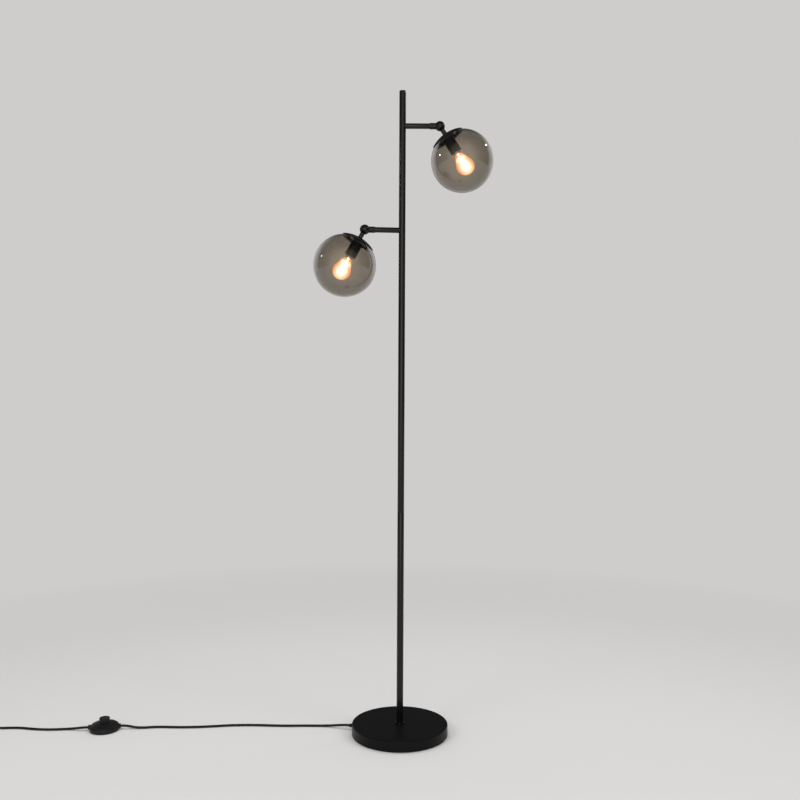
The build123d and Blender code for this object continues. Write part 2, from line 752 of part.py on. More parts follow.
# Two wires to each head: out of the terminal block, along the duct, up the pole and into the arm.
block_near = (bay_near + bay_far - block_length) / 2
block_far = block_near + block_length
with BuildPart() as pole_wires:
    for name, arm_dir, at_pole, hinge in wire_routes:
        side = 1 if name == "upper" else -1
        low = wire_low if name == "upper" else wire_low + wire_step
        for across in (-wire_pitch / 2, wire_pitch / 2):
            rise = exit_dir * (-side * wire_pitch / 2) + exit_across * across
            with BuildLine() as wire_line:
                FilletPolyline(
                    exit_dir * block_near + exit_across * across + up * low,
                    rise + up * low,
                    rise + at_pole,
                    rise + at_pole + arm_dir * (arm_reach - ball_d / 2 - ball_clear - wire_pitch),
                    radius=wire_bend_r,
                )
            with BuildSketch(Plane(origin=wire_line.line @ 0, z_dir=wire_line.line % 0)):
                Circle(wire_d / 2)
            sweep()
save(pole_wires, "pole_wires")

# ================================================================ cord
with BuildPart() as terminal_block:
    with BuildSketch(duct_plane):
        with Locations(((bay_near + bay_far) / 2, 0)):
            Rectangle(block_length, block_w)
    extrude(amount=block_h)
save(terminal_block, "terminal_block")

with BuildPart() as cord_gland:
    wall_out = base_d / 2
    wall_in = sqrt((wall_out - cover_t) ** 2 - (gland_tail_d / 2) ** 2)
    with BuildSketch(Plane(origin=up * exit_h, x_dir=exit_dir, z_dir=-exit_across)):
        with BuildLine():
            Polyline(
                (gland_tail_start, 0), (gland_tail_start, gland_bore_wall_d / 2 - weight_gap),
                (wall_in, gland_tail_d / 2), (wall_in, gland_bore_wall_d / 2),
                (wall_out, gland_bore_wall_d / 2), (wall_out, gland_flange_d / 2),
                (wall_out + gland_flange_t, gland_flange_d / 2),
                (wall_out + gland_flange_t, gland_tail_d / 2),
                (wall_out + gland_reach, gland_end_d / 2), (wall_out + gland_reach, 0), close=True,
            )
        make_face()
    revolve(axis=Axis(up * exit_h, exit_dir))
    with BuildSketch(section_at(gland_tail_start, exit_dir, up * exit_h)):
        Circle(cord_d / 2 + cord_bore_play)
    extrude(amount=wall_out + gland_reach - gland_tail_start, mode=Mode.SUBTRACT)
save(cord_gland, "cord_gland")


def bend_radii(points):
    """Radius at each corner: a share of its shorter run over the tangent of half its turn."""
    runs = [b - a for a, b in zip(points, points[1:])]
    return [
        bend_share * min(a.length, b.length) / tan(radians(a.get_angle(b)) / 2)
        for a, b in zip(runs, runs[1:])
    ]


def switch_point(distance):
    """Point on the cord's axis through the switch, from its middle."""
    return Vector(switch_x, switch_y, switch_axis_z) + switch_dir * distance


straight_end = base_d / 2 + gland_reach + exit_straight
base_cord_points = (
    [exit_dir * block_far + up * exit_h, exit_dir * straight_end + up * exit_h]
    + [Vector(x, y, floor_z) for x, y in base_cord_floor]
    + [switch_point(switch_straight), switch_point(cord_in_switch)]
)
coil_spread = coil_pitch * (coil_tracks - 1)
coil_rise = coil_pitch * (coil_layers - 1)
coil_out_r = (coil_mean_d + coil_spread) / 2
switch_cord_points = (
    [switch_point(-cord_in_switch), switch_point(-switch_straight)]
    + [Vector(x, y, floor_z) for x, y in switch_cord_floor]
    + [Vector(coil_x + coil_entry, coil_y + coil_out_r, floor_z)]
)
for label, points in (("base_cord", base_cord_points), ("switch_cord", switch_cord_points)):
    radii = bend_radii(points)
    with BuildPart() as cord:
        with BuildLine() as route:
            FilletPolyline(*points, radius=radii)
        with BuildSketch(Plane(origin=route.line @ 0, z_dir=route.line % 0)):
            Circle(cord_d / 2)
        sweep()
    save(cord, label)
    length = sum(edge.length for edge in route.edges())
    rod_volume = pi * (cord_d / 2) ** 2 * length
    print(label, "arc radii", [round(r) for r in radii], "length", round(length, 1))
    print(label, "volume over section times length", round(cord.part.volume / rod_volume, 4))

coil_top_z = floor_z + coil_rise
exit_x = coil_x - coil_out_r
lead_points = [Vector(exit_x, coil_y, coil_top_z)]
lead_points.append(lead_points[-1] - Vector(0, lead_drop[0], 0))
lead_points.append(Vector(exit_x - lead_shift, lead_points[-1].Y - lead_drop[1], plug_axis_h))
lead_points.append(lead_points[-1] - Vector(0, lead_drop[2], 0))
with BuildPart() as cord_coil:
    with BuildSketch(Plane(origin=(coil_x, coil_y, 0), x_dir=(1, 0, 0), z_dir=(0, -1, 0))):
        with Locations((coil_mean_d / 2, floor_z + coil_rise / 2)):
            RectangleRounded(coil_spread + cord_d, coil_rise + cord_d, cord_d / 2)
    revolve(axis=Axis((coil_x, coil_y, 0), (0, 0, 1)))
    with BuildSketch(Plane(origin=(coil_x, coil_y + coil_out_r, floor_z), z_dir=(1, 0, 0))):
        Circle(cord_d / 2)
    extrude(amount=coil_entry)
    with BuildLine() as lead:
        FilletPolyline(*lead_points, radius=bend_radii(lead_points))
    with BuildSketch(Plane(origin=lead.line @ 0, z_dir=lead.line % 0)):
        Circle(cord_d / 2)
    sweep()
save(cord_coil, "cord_coil")

# ================================================================ plug
plug_start = lead_points[-1]
plug_plan = Plane(origin=(plug_start.X, plug_start.Y, 0), x_dir=(0, -1, 0), z_dir=(0, 0, 1))
plug_back = relief_length
plug_face = relief_length + plug_length
relief_end = plug_start - Vector(0, plug_back + plug_edge_r, 0)
face_middle = plug_start - Vector(0, plug_face, 0)
with BuildPart() as plug_body:
    with BuildSketch(plug_plan):
        with BuildLine():
            Polyline(
                (plug_back, -plug_w_back / 2), (plug_back, plug_w_back / 2),
                (plug_back + plug_shoulder, plug_w / 2), (plug_face, plug_w / 2),
                (plug_face, -plug_w / 2), (plug_back + plug_shoulder, -plug_w / 2), close=True,
            )
        make_face()
    extrude(amount=plug_h)
    fillet(plug_body.edges(), radius=plug_edge_r)
    with BuildSketch(Plane(origin=plug_start, x_dir=(1, 0, 0), z_dir=(0, -1, 0))):
        Circle(relief_start_d / 2)
    with BuildSketch(Plane(origin=relief_end, x_dir=(1, 0, 0), z_dir=(0, -1, 0))):
        Circle(relief_end_d / 2)
    loft()
    with BuildSketch(Plane(origin=face_middle, x_dir=(1, 0, 0), z_dir=(0, 1, 0))):
        with GridLocations(pin_spacing, 0, 2, 1):
            Circle(pin_root_d / 2)
    extrude(amount=pin_root_length, mode=Mode.SUBTRACT)
save(plug_body, "plug_body")

with BuildPart() as plug_pins:
    with BuildSketch(Plane(origin=face_middle, x_dir=(1, 0, 0), z_dir=(0, -1, 0))):
        with GridLocations(pin_spacing, 0, 2, 1):
            Circle(pin_d / 2)
    extrude(amount=pin_length)
    fillet(plug_pins.edges().group_by(Axis.Y)[0], radius=pin_tip_r)
    with BuildSketch(Plane(origin=face_middle, x_dir=(1, 0, 0), z_dir=(0, 1, 0))):
        with GridLocations(pin_spacing, 0, 2, 1):
            Circle(pin_root_d / 2)
    extrude(amount=pin_root_length)
save(plug_pins, "plug_pins")

# ================================================================ foot switch
switch_r = switch_d / 2
snout_start = switch_r - 2 * switch_wall
switch_axis = Axis((switch_x, switch_y, 0), (0, 0, 1))
switch_side = Plane(origin=(switch_x, switch_y, 0), x_dir=switch_dir, z_dir=switch_dir.cross(up))


def dome_outline(radius, top):
    """Closed half outline of the cover's dome above the joint: a quarter ellipse and its axes."""
    with BuildSketch() as outline:
        with BuildLine():
            EllipticalCenterArc((0, switch_split), radius, top - switch_split, start_angle=0, arc_size=90)
            Polyline((0, top), (0, switch_split), (radius, switch_split))
        make_face()
    return outline.sketch


def along_cord(near, far, diameter):
    """Two rods on the cord's axis, one to each side of the switch's middle."""
    with BuildPart() as rods:
        for side in (1, -1):
            with BuildSketch(section_at(near, switch_dir * side, switch_point(0))):
                Circle(diameter / 2)
            extrude(amount=far - near)
    return rods.part


with BuildPart() as switch_base:
    with BuildSketch(switch_plane):
        Circle(switch_r)
    extrude(amount=switch_split)
    fillet(switch_base.edges().group_by(Axis.Z)[0], radius=switch_edge_r)
    with BuildSketch(switch_plane.offset(switch_floor)):
        Circle(switch_r - switch_wall)
    extrude(amount=switch_split - switch_floor, mode=Mode.SUBTRACT)
    add(along_cord(snout_start, snout_reach, snout_d))
    add(along_cord(cord_in_switch, snout_reach, cord_d + 2 * cord_bore_play), mode=Mode.SUBTRACT)
    split(bisect_by=Plane.XY.offset(switch_split), keep=Keep.BOTTOM)
    with BuildSketch(switch_plane):
        with PolarLocations(boss_ring_d / 2, boss_count, start_angle=90):
            Circle(screw_clear_d / 2)
    extrude(amount=switch_floor, mode=Mode.SUBTRACT)
    with BuildSketch(switch_plane):
        with PolarLocations(boss_ring_d / 2, boss_count, start_angle=90):
            Circle(screw_head_d / 2 + cord_bore_play)
    extrude(amount=screw_head_sink + screw_head_h, mode=Mode.SUBTRACT)
save(switch_base, "switch_base")

with BuildPart() as switch_cover:
    with BuildSketch(switch_side):
        add(dome_outline(switch_r, switch_top))
        add(dome_outline(switch_r - switch_wall, switch_top - switch_wall), mode=Mode.SUBTRACT)
    revolve(axis=switch_axis)
    add(along_cord(snout_start, snout_reach, snout_d))
    add(along_cord(cord_in_switch, snout_reach, cord_d + 2 * cord_bore_play), mode=Mode.SUBTRACT)
    split(bisect_by=Plane.XY.offset(switch_split), keep=Keep.TOP)
    with BuildSketch(switch_plane.offset(switch_floor)):
        with PolarLocations(boss_ring_d / 2, boss_count, start_angle=90):
            Circle(boss_d / 2)
    extrude(amount=boss_top - switch_floor)
    with BuildSketch(switch_plane.offset(switch_floor)):
        with PolarLocations(boss_ring_d / 2, boss_count, start_angle=90):
            Circle(screw_core_d / 2)
    extrude(amount=screw_length - switch_floor + screw_head_sink + screw_head_h, mode=Mode.SUBTRACT)
    with BuildSketch(switch_plane.offset(switch_top)):
        Circle(button_d / 2 + button_play)
    extrude(amount=-2 * switch_wall, mode=Mode.SUBTRACT)
save(switch_cover, "switch_cover")

with BuildPart() as switch_screws:
    with BuildSketch(switch_plane.offset(screw_head_sink)):
        with PolarLocations(boss_ring_d / 2, boss_count, start_angle=90):
            Circle(screw_head_d / 2)
    extrude(amount=screw_head_h)
    with BuildSketch(switch_plane.offset(screw_head_sink + screw_head_h)):
        with PolarLocations(boss_ring_d / 2, boss_count, start_angle=90):
            Circle(screw_core_d / 2)
    extrude(amount=screw_length)
save(switch_screws, "switch_screws")

with BuildPart() as switch_block:
    with BuildSketch(switch_plane.offset(switch_floor)):
        Rectangle(switch_block_l, switch_block_w)
    extrude(amount=switch_block_top - switch_floor)
    with BuildSketch(switch_plane.offset(well_floor)):
        Circle(well_d / 2)
    extrude(amount=switch_block_top - well_floor, mode=Mode.SUBTRACT)
save(switch_block, "switch_block")

with BuildPart() as switch_button:
    with BuildSketch(switch_side):
        button_r, flange_top = button_d / 2, button_foot + button_flange_t
        button_roof = button_top - button_wall
        with BuildLine():
            edge_in, edge_out = (button_r - button_edge_r, button_top), (button_r, button_top - button_edge_r)
            TangentArc((0, button_top - button_dish), (button_dish_d / 2, button_top), tangent=(1, 0))
            Line((button_dish_d / 2, button_top), edge_in)
            RadiusArc(edge_in, edge_out, button_edge_r)
            Polyline(
                edge_out, (button_r, flange_top), (button_flange_d / 2, flange_top),
                (button_flange_d / 2, button_foot), (button_r - button_wall, button_foot),
                (button_r - button_wall, button_roof), (plunger_d / 2, button_roof),
                (plunger_d / 2, plunger_foot), (0, plunger_foot), (0, button_top - button_dish),
            )
        make_face()
    revolve(axis=switch_axis)
save(switch_button, "switch_button")

spring_low = switch_block_top + spring_wire_d / 2 + spring_seat_play
spring_high = button_top - button_wall - spring_wire_d / 2 - spring_seat_play
with BuildPart() as button_spring:
    with BuildLine() as spring_line:
        Helix(
            pitch=(spring_high - spring_low) / spring_turns,
            height=spring_high - spring_low,
            radius=spring_d / 2,
            center=(switch_x, switch_y, spring_low),
        )
    with BuildSketch(Plane(origin=spring_line.line @ 0, z_dir=spring_line.line % 0)):
        Circle(spring_wire_d / 2)
    sweep(is_frenet=True)
save(button_spring, "button_spring")
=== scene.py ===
import json
from math import acos, atan2, cos, hypot, pi, radians, sin, sqrt

import bmesh
import bpy
import numpy as np
from mathutils import Matrix, Vector


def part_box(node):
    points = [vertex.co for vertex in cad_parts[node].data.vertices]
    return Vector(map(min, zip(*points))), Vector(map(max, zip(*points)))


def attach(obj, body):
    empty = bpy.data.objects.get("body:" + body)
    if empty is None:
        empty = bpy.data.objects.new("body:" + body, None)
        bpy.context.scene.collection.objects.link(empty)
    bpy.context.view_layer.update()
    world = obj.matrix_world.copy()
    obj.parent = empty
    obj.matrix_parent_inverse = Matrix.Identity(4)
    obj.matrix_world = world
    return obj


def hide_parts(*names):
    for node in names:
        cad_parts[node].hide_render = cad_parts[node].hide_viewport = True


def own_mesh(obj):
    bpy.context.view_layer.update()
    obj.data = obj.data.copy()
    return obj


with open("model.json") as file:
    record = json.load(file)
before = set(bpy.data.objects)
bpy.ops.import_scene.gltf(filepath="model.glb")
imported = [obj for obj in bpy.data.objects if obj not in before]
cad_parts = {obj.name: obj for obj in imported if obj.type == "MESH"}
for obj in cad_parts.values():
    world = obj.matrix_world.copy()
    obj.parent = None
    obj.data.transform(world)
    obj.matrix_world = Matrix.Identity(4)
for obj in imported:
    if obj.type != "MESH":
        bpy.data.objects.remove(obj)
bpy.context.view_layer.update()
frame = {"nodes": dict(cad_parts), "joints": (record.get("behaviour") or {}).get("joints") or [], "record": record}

bl_info = {
    "name": "Two globe floor lamp",
    "version": (1, 0, 0),
    "blender": (4, 5, 0),
    "location": "3D View > Sidebar > Floor lamp",
    "description": "Finishes a floor lamp with two smoked glass globes: glass, bulbs, lacquer, cord, switch and plug",
    "category": "Object",
}

MM = 0.001  # metres in a millimetre
UP = Vector((0, 0, 1))
SIDES = ("upper", "lower")


# ------------------------------------------------------------------ places read from the frame
def joint_of(body):
    """The joint that carries a body."""
    return next(joint for joint in frame["joints"] if joint["child"] == body)


def head_axes(side):
    """Pivot, arm direction and head direction of the upper or the lower head.

    The joint's low limit is where the head hangs straight down, so the tilt at rest is that angle."""
    joint = joint_of(f"{side}_head")
    arm = UP.cross(Vector(joint["axis"])).normalized()
    tilt = radians(-joint["range_deg"][0])
    return Vector(joint["pos_m"]), arm, arm * sin(tilt) - UP * cos(tilt)


# ------------------------------------------------------------------ settings that a user would change
class GlobeSettings(bpy.types.PropertyGroup):
    """Sizes and colour of the smoked globes. Distances run along the head, from the knuckle's axis."""

    diameter: bpy.props.FloatProperty(
        name="Diameter", description="Outside of the globe", default=0.150, subtype="DISTANCE", unit="LENGTH")
    wall: bpy.props.FloatProperty(
        name="Wall", description="Thickness of the glass", default=0.002, subtype="DISTANCE", unit="LENGTH")
    mouth: bpy.props.FloatProperty(
        name="Mouth", description="Clear opening", default=0.058, subtype="DISTANCE", unit="LENGTH")
    centre: bpy.props.FloatProperty(
        name="Centre", description="Knuckle axis to globe centre", default=0.099493, subtype="DISTANCE", unit="LENGTH")
    smoke: bpy.props.FloatVectorProperty(
        name="Smoke", description="Light that one wall lets through, seen straight on", size=3, subtype="COLOR",
        default=(0.58, 0.53, 0.46), min=0.0, max=1.0)
    deep_smoke: bpy.props.FloatVectorProperty(
        name="Deep smoke", description="Light that one wall lets through, seen at a slant", size=3,
        subtype="COLOR", default=(0.46, 0.43, 0.395), min=0.0, max=1.0)


class BulbSettings(bpy.types.PropertyGroup):
    """Sizes and light of the bulbs. Distances run along the head, from the knuckle's axis."""

    ball: bpy.props.FloatProperty(
        name="Ball", description="Diameter of the glass ball", default=0.045, subtype="DISTANCE", unit="LENGTH")
    centre: bpy.props.FloatProperty(
        name="Centre", description="Knuckle axis to ball centre", default=0.1135, subtype="DISTANCE", unit="LENGTH")
    neck: bpy.props.FloatProperty(
        name="Neck", description="Diameter of the neck", default=0.0164, subtype="DISTANCE", unit="LENGTH")
    neck_start: bpy.props.FloatProperty(
        name="Neck start", description="Inner end of the glass", default=0.077, subtype="DISTANCE", unit="LENGTH")
    collar_end: bpy.props.FloatProperty(
        name="Collar end", description="Where the taper starts", default=0.0805, subtype="DISTANCE", unit="LENGTH")
    wall: bpy.props.FloatProperty(
        name="Wall", description="Thickness of the glass", default=0.0008, subtype="DISTANCE", unit="LENGTH")
    strength: bpy.props.FloatProperty(name="Glow", description="How bright the lit glass looks", default=0.75, min=0.0)
    core: bpy.props.FloatVectorProperty(
        name="Core", description="Colour of the light in the middle", size=3, subtype="COLOR",
        default=(1.0, 0.90, 0.76), min=0.0, max=1.0)
    ring: bpy.props.FloatVectorProperty(
        name="Ring", description="Colour of the light around the middle", size=3, subtype="COLOR",
        default=(0.52, 0.17, 0.058), min=0.0, max=1.0)
    rim: bpy.props.FloatVectorProperty(
        name="Rim", description="Colour of the light at the glass's edge", size=3, subtype="COLOR",
        default=(0.34, 0.09, 0.024), min=0.0, max=1.0)


class CordSettings(bpy.types.PropertyGroup):
    """Sizes of the cord."""

    diameter: bpy.props.FloatProperty(
        name="Diameter", description="Outside of the jacket", default=0.0056, subtype="DISTANCE", unit="LENGTH")
    base_length: bpy.props.FloatProperty(
        name="To the switch", description="Cord from the foot's terminals to the switch", default=0.598,
        subtype="DISTANCE", unit="LENGTH")
    switch_length: bpy.props.FloatProperty(
        name="To the plug", description="Cord from the switch to the plug", default=1.160,
        subtype="DISTANCE", unit="LENGTH")


class FinishSettings(bpy.types.PropertyGroup):
    """The tubes' wall, and the colours of the lamp's other materials."""

    tube_wall: bpy.props.FloatProperty(
        name="Tube wall", description="Thickness of the pole's and the arms' tubes", default=0.001,
        subtype="DISTANCE", unit="LENGTH")
    lacquer: bpy.props.FloatVectorProperty(
        name="Lacquer", description="Black satin lacquer", size=3, subtype="COLOR", default=(0.0030, 0.0030, 0.0032))
    moulding: bpy.props.FloatVectorProperty(
        name="Moulding", description="Black moulded plastic", size=3, subtype="COLOR", default=(0.006, 0.006, 0.0065))
    jacket: bpy.props.FloatVectorProperty(
        name="Jacket", description="Black cord jacket", size=3, subtype="COLOR", default=(0.006, 0.006, 0.006))


class StageSettings(bpy.types.PropertyGroup):
    """The camera, the floor and the light."""

    eye_x: bpy.props.FloatProperty(
        name="Camera X", description="Sideways place of the camera", default=-0.0031, subtype="DISTANCE")
    eye_y: bpy.props.FloatProperty(
        name="Camera Y", description="How far the camera stands in front", default=-2.087, subtype="DISTANCE")
    eye_z: bpy.props.FloatProperty(
        name="Camera height", description="Height of the camera", default=0.8043, subtype="DISTANCE")
    roll: bpy.props.FloatProperty(
        name="Roll", description="Lean of the camera", default=radians(0.27), subtype="ANGLE")
    focal: bpy.props.FloatProperty(
        name="Focal length", description="In image widths", default=866 / 800, min=0.1)
    pale: bpy.props.FloatVectorProperty(
        name="Pale", description="Floor and background", size=3, subtype="COLOR", default=(0.62, 0.61, 0.60))


def settings():
    """The lamp's settings in this scene."""
    return bpy.context.scene.floor_lamp


class LampSettings(bpy.types.PropertyGroup):
    """All settings of the lamp."""

    globe: bpy.props.PointerProperty(type=GlobeSettings)
    bulb: bpy.props.PointerProperty(type=BulbSettings)
    cord: bpy.props.PointerProperty(type=CordSettings)
    finish: bpy.props.PointerProperty(type=FinishSettings)
    stage: bpy.props.PointerProperty(type=StageSettings)


# ------------------------------------------------------------------ surfaces
def new_mesh(name, points, faces):
    """A smooth mesh object at the origin from an array of points and lists of point numbers."""
    mesh = bpy.data.meshes.new(name)
    mesh.from_pydata(points.tolist(), [], faces)
    mesh.validate()
    mesh.shade_smooth()
    piece = bpy.data.objects.new(name, mesh)
    put_in_scene(piece)
    return piece


def put_in_scene(piece):
    """Links an object to the scene."""
    bpy.context.scene.collection.objects.link(piece)


def mesh_points(mesh):
    """A mesh's points as an array."""
    points = np.empty(len(mesh.vertices) * 3)
    mesh.vertices.foreach_get("co", points)
    return points.reshape(-1, 3)


def ring_faces(number, closed=False):
    """Four sided faces from each ring of point numbers to the next, and from the last to the first if closed."""
    rings = np.vstack([number, number[:1]]) if closed else number
    nearby = np.roll(rings, -1, axis=1)
    return np.stack([rings[:-1], nearby[:-1], nearby[1:], rings[1:]], axis=-1).reshape(-1, 4).tolist()


def face_outwards(piece):
    """Turns a closed mesh inside out if its volume comes out negative."""
    shape = bmesh.new()
    shape.from_mesh(piece.data)
    if shape.calc_volume(signed=True) < 0:
        bmesh.ops.reverse_faces(shape, faces=shape.faces[:])
        shape.to_mesh(piece.data)
    shape.free()
    piece.data.shade_smooth()


def turned_points(chain, start, along, steps):
    """Points of a chain of (radius, distance) pairs turned about a line.

    point = start + along * distance + radius * (across * cos(angle) + other * sin(angle))."""
    across = along.orthogonal().normalized()
    other = along.cross(across)
    angle = np.arange(steps) * 2 * pi / steps
    circle = np.outer(np.cos(angle), across) + np.outer(np.sin(angle), other)
    radius, distance = chain[:, 0], chain[:, 1]
    middle = np.array(start) + np.outer(distance, along)
    return middle[:, None, :] + radius[:, None, None] * circle[None, :, :]


def turned(name, chain, start, along, steps=128):
    """A closed surface turned from a chain of (radius, distance) pairs that starts and ends on the axis.

    Between the two end points each pair of rings is joined by four sided faces, and each end by a fan."""
    chain = np.array(chain)
    rings = turned_points(chain[1:-1], start, along, steps)
    count = len(rings)
    ends = np.array(start) + np.outer(chain[[0, -1], 1], along)
    points = np.vstack([rings.reshape(-1, 3), ends])
    number = np.arange(count * steps).reshape(count, steps)
    nearby = np.roll(number, -1, axis=1)
    first = np.stack([np.full(steps, count * steps), nearby[0], number[0]], axis=-1)
    last = np.stack([np.full(steps, count * steps + 1), number[-1], nearby[-1]], axis=-1)
    piece = new_mesh(name, points, ring_faces(number) + first.tolist() + last.tolist())
    face_outwards(piece)
    return piece


def turned_wall(name, loop, start, along, steps=128):
    """A tube wall turned from a closed loop of (radius, distance) pairs, as turned_points gives it."""
    rings = turned_points(np.array(loop), start, along, steps)
    number = np.arange(len(rings) * steps).reshape(len(rings), steps)
    piece = new_mesh(name, rings.reshape(-1, 3), ring_faces(number, closed=True))
    face_outwards(piece)
    return piece


def tube_loop(inner, outer, low, high, edge=0.5 * MM, round_steps=5):
    """Profile of a tube with rounded outer edges: four corners, the outer two as quarter circles.

    A quarter circle's points are (outer - edge + edge * sin(angle), end -/+ edge * (1 - cos(angle)))."""
    angle = np.linspace(0, pi / 2, round_steps)
    side, rise = outer - edge + edge * np.sin(angle), edge * (1 - np.cos(angle))
    return np.vstack([
        [(inner, low)], np.stack([side, low + rise], axis=-1),
        np.stack([side[::-1], high - rise[::-1]], axis=-1), [(inner, high)],
    ])


def reach_along(node, start, along):
    """Lowest and highest distance of a solid along a line, and its largest distance from that line."""
    offset = mesh_points(frame["nodes"][node].data) - np.array(start)
    distance = offset @ np.array(along)
    across = np.linalg.norm(offset - np.outer(distance, along), axis=1)
    return distance.min(), distance.max(), across.max()


def arc(centre, radius, first, last, steps):
    """Pairs on a circle in the profile: (radius * sin(angle), centre - radius * cos(angle))."""
    angle = np.linspace(first, last, steps)
    return np.stack([radius * np.sin(angle), centre - radius * np.cos(angle)], axis=-1)


def wound_wire(name, path, axis, radius, steps):
    """A round wire along a path that winds about an axis, with flat ends.

    Each ring stands square to the path: point = path + radius * (side * cos(angle) + other * sin(angle)), where side
    is axis x forward and other is forward x side, both of length one."""
    forward = np.gradient(path, axis=0)
    side = np.cross(axis, forward)
    other = np.cross(forward, side)
    side /= np.linalg.norm(side, axis=1)[:, None]
    other /= np.linalg.norm(other, axis=1)[:, None]
    angle = np.arange(steps) * 2 * pi / steps
    ring = np.cos(angle)[None, :, None] * side[:, None, :] + np.sin(angle)[None, :, None] * other[:, None, :]
    points = path[:, None, :] + radius * ring
    number = np.arange(len(path) * steps).reshape(len(path), steps)
    ends = [number[0][::-1].tolist(), number[-1].tolist()]
    piece = new_mesh(name, points.reshape(-1, 3), ring_faces(number) + ends)
    face_outwards(piece)
    return piece


# ------------------------------------------------------------------ shader groups and materials
def group(name, inputs, outputs):
    """An empty shader group with float inputs and outputs, each given as name and default."""
    made = bpy.data.node_groups.new(name, "ShaderNodeTree")
    for title, value in inputs:
        made.interface.new_socket(title, in_out="INPUT", socket_type="NodeSocketFloat").default_value = value
    for title in outputs:
        made.interface.new_socket(title, in_out="OUTPUT", socket_type="NodeSocketFloat")
    return made, made.nodes.new("NodeGroupInput"), made.nodes.new("NodeGroupOutput")


def fill(tree, socket, value):
    """Fills one input with a number, a colour of three parts or another node's output."""
    if isinstance(value, bpy.types.NodeSocket):
        tree.links.new(value, socket)
    else:
        socket.default_value = (*value, 1.0) if isinstance(value, (tuple, list)) else value


def feed(tree, node, **values):
    """Fills a node's inputs, which are named by their titles with _ for each space."""
    for title, value in values.items():
        fill(tree, node.inputs[title.replace("_", " ")], value)


def noise(tree, vector, scale, detail=3.0, rough=0.5):
    """A noise texture on a vector."""
    texture = tree.nodes.new("ShaderNodeTexNoise")
    feed(tree, texture, Vector=vector, Scale=scale, Detail=detail, Roughness=rough)
    return texture.outputs["Fac"]


def math_node(tree, operation, first, second=0.0):
    """One Math node. Each input is a number or another node's output."""
    node = tree.nodes.new("ShaderNodeMath")
    node.operation = operation
    for socket, value in zip(node.inputs, (first, second)):
        fill(tree, socket, value)
    return node.outputs[0]


def spread(tree, value, low, high, to_low, to_high):
    """Maps a value from one range to another and clamps it."""
    node = tree.nodes.new("ShaderNodeMapRange")
    feed(tree, node, Value=value, From_Min=low, From_Max=high, To_Min=to_low, To_Max=to_high)
    return node.outputs["Result"]


def split_vector(tree, vector):
    """The X, Y and Z outputs of a vector."""
    node = tree.nodes.new("ShaderNodeSeparateXYZ")
    tree.links.new(vector, node.inputs[0])
    return node.outputs


def mixed_colour(tree, mask, first, second):
    """A colour between two, by a mask. Each is a colour of three parts or another node's output."""
    node = tree.nodes.new("ShaderNodeMix")
    node.data_type = "RGBA"
    feed(tree, node, Factor=mask, A=first, B=second)
    return node.outputs["Result"]


def mix_to_surface(tree, mask, first, second, output="Material Output"):
    """Mixes two shaders by a mask and gives them to the tree's output."""
    mix = tree.nodes.new("ShaderNodeMixShader")
    for value, socket in zip((mask, first.outputs[0], second.outputs[0]), mix.inputs):
        tree.links.new(value, socket)
    tree.links.new(mix.outputs[0], tree.nodes[output].inputs["Surface"])


def object_place(tree):
    """The Object coordinates."""
    return tree.nodes.new("ShaderNodeTexCoord").outputs["Object"]


def make_skin_group():
    """Skin: the fine unevenness of a sprayed, moulded or cast surface. Gives a height, and a cloudy mask for gloss."""
    made, given, result = group("skin", [("Grain", 900.0), ("Cloud", 14.0)], ["Height", "Cloudy"])
    place = object_place(made)
    fine = noise(made, place, given.outputs["Grain"], detail=2.0)
    broad = noise(made, place, given.outputs["Cloud"], detail=4.0, rough=0.6)
    made.links.new(fine, result.inputs["Height"])
    made.links.new(spread(made, broad, 0.35, 0.68, 0.0, 1.0), result.inputs["Cloudy"])
    return made


def make_dust_group():
    """Dust: a speckled mask on faces that look up."""
    made, given, result = group("dust", [("Speckle", 420.0), ("Amount", 0.4)], ["Mask"])
    place = object_place(made)
    specks = spread(made, noise(made, place, given.outputs["Speckle"], detail=5.0, rough=0.7), 0.50, 0.72, 0.0, 1.0)
    patches = spread(made, noise(made, place, 9.0, detail=3.0), 0.30, 0.75, 0.25, 1.0)
    normal = made.nodes.new("ShaderNodeNewGeometry").outputs["Normal"]
    upward = spread(made, split_vector(made, normal)["Z"], 0.35, 0.95, 0.0, 1.0)
    mask = math_node(made, "MULTIPLY", math_node(made, "MULTIPLY", specks, patches), upward)
    made.links.new(math_node(made, "MULTIPLY", mask, given.outputs["Amount"]), result.inputs["Mask"])
    return made


GROUP_MAKERS = {"skin": make_skin_group, "dust": make_dust_group}


def place_group(tree, name, **values):
    """A shader group placed in a material, with its own values."""
    node = tree.nodes.new("ShaderNodeGroup")
    node.node_tree = bpy.data.node_groups.get(name) or GROUP_MAKERS[name]()
    feed(tree, node, **values)
    return node


def new_material(name):
    """A material with a Principled BSDF and nothing else."""
    material = bpy.data.materials.new(name)
    material.use_nodes = True
    tree = material.node_tree
    return material, tree, tree.nodes["Principled BSDF"]


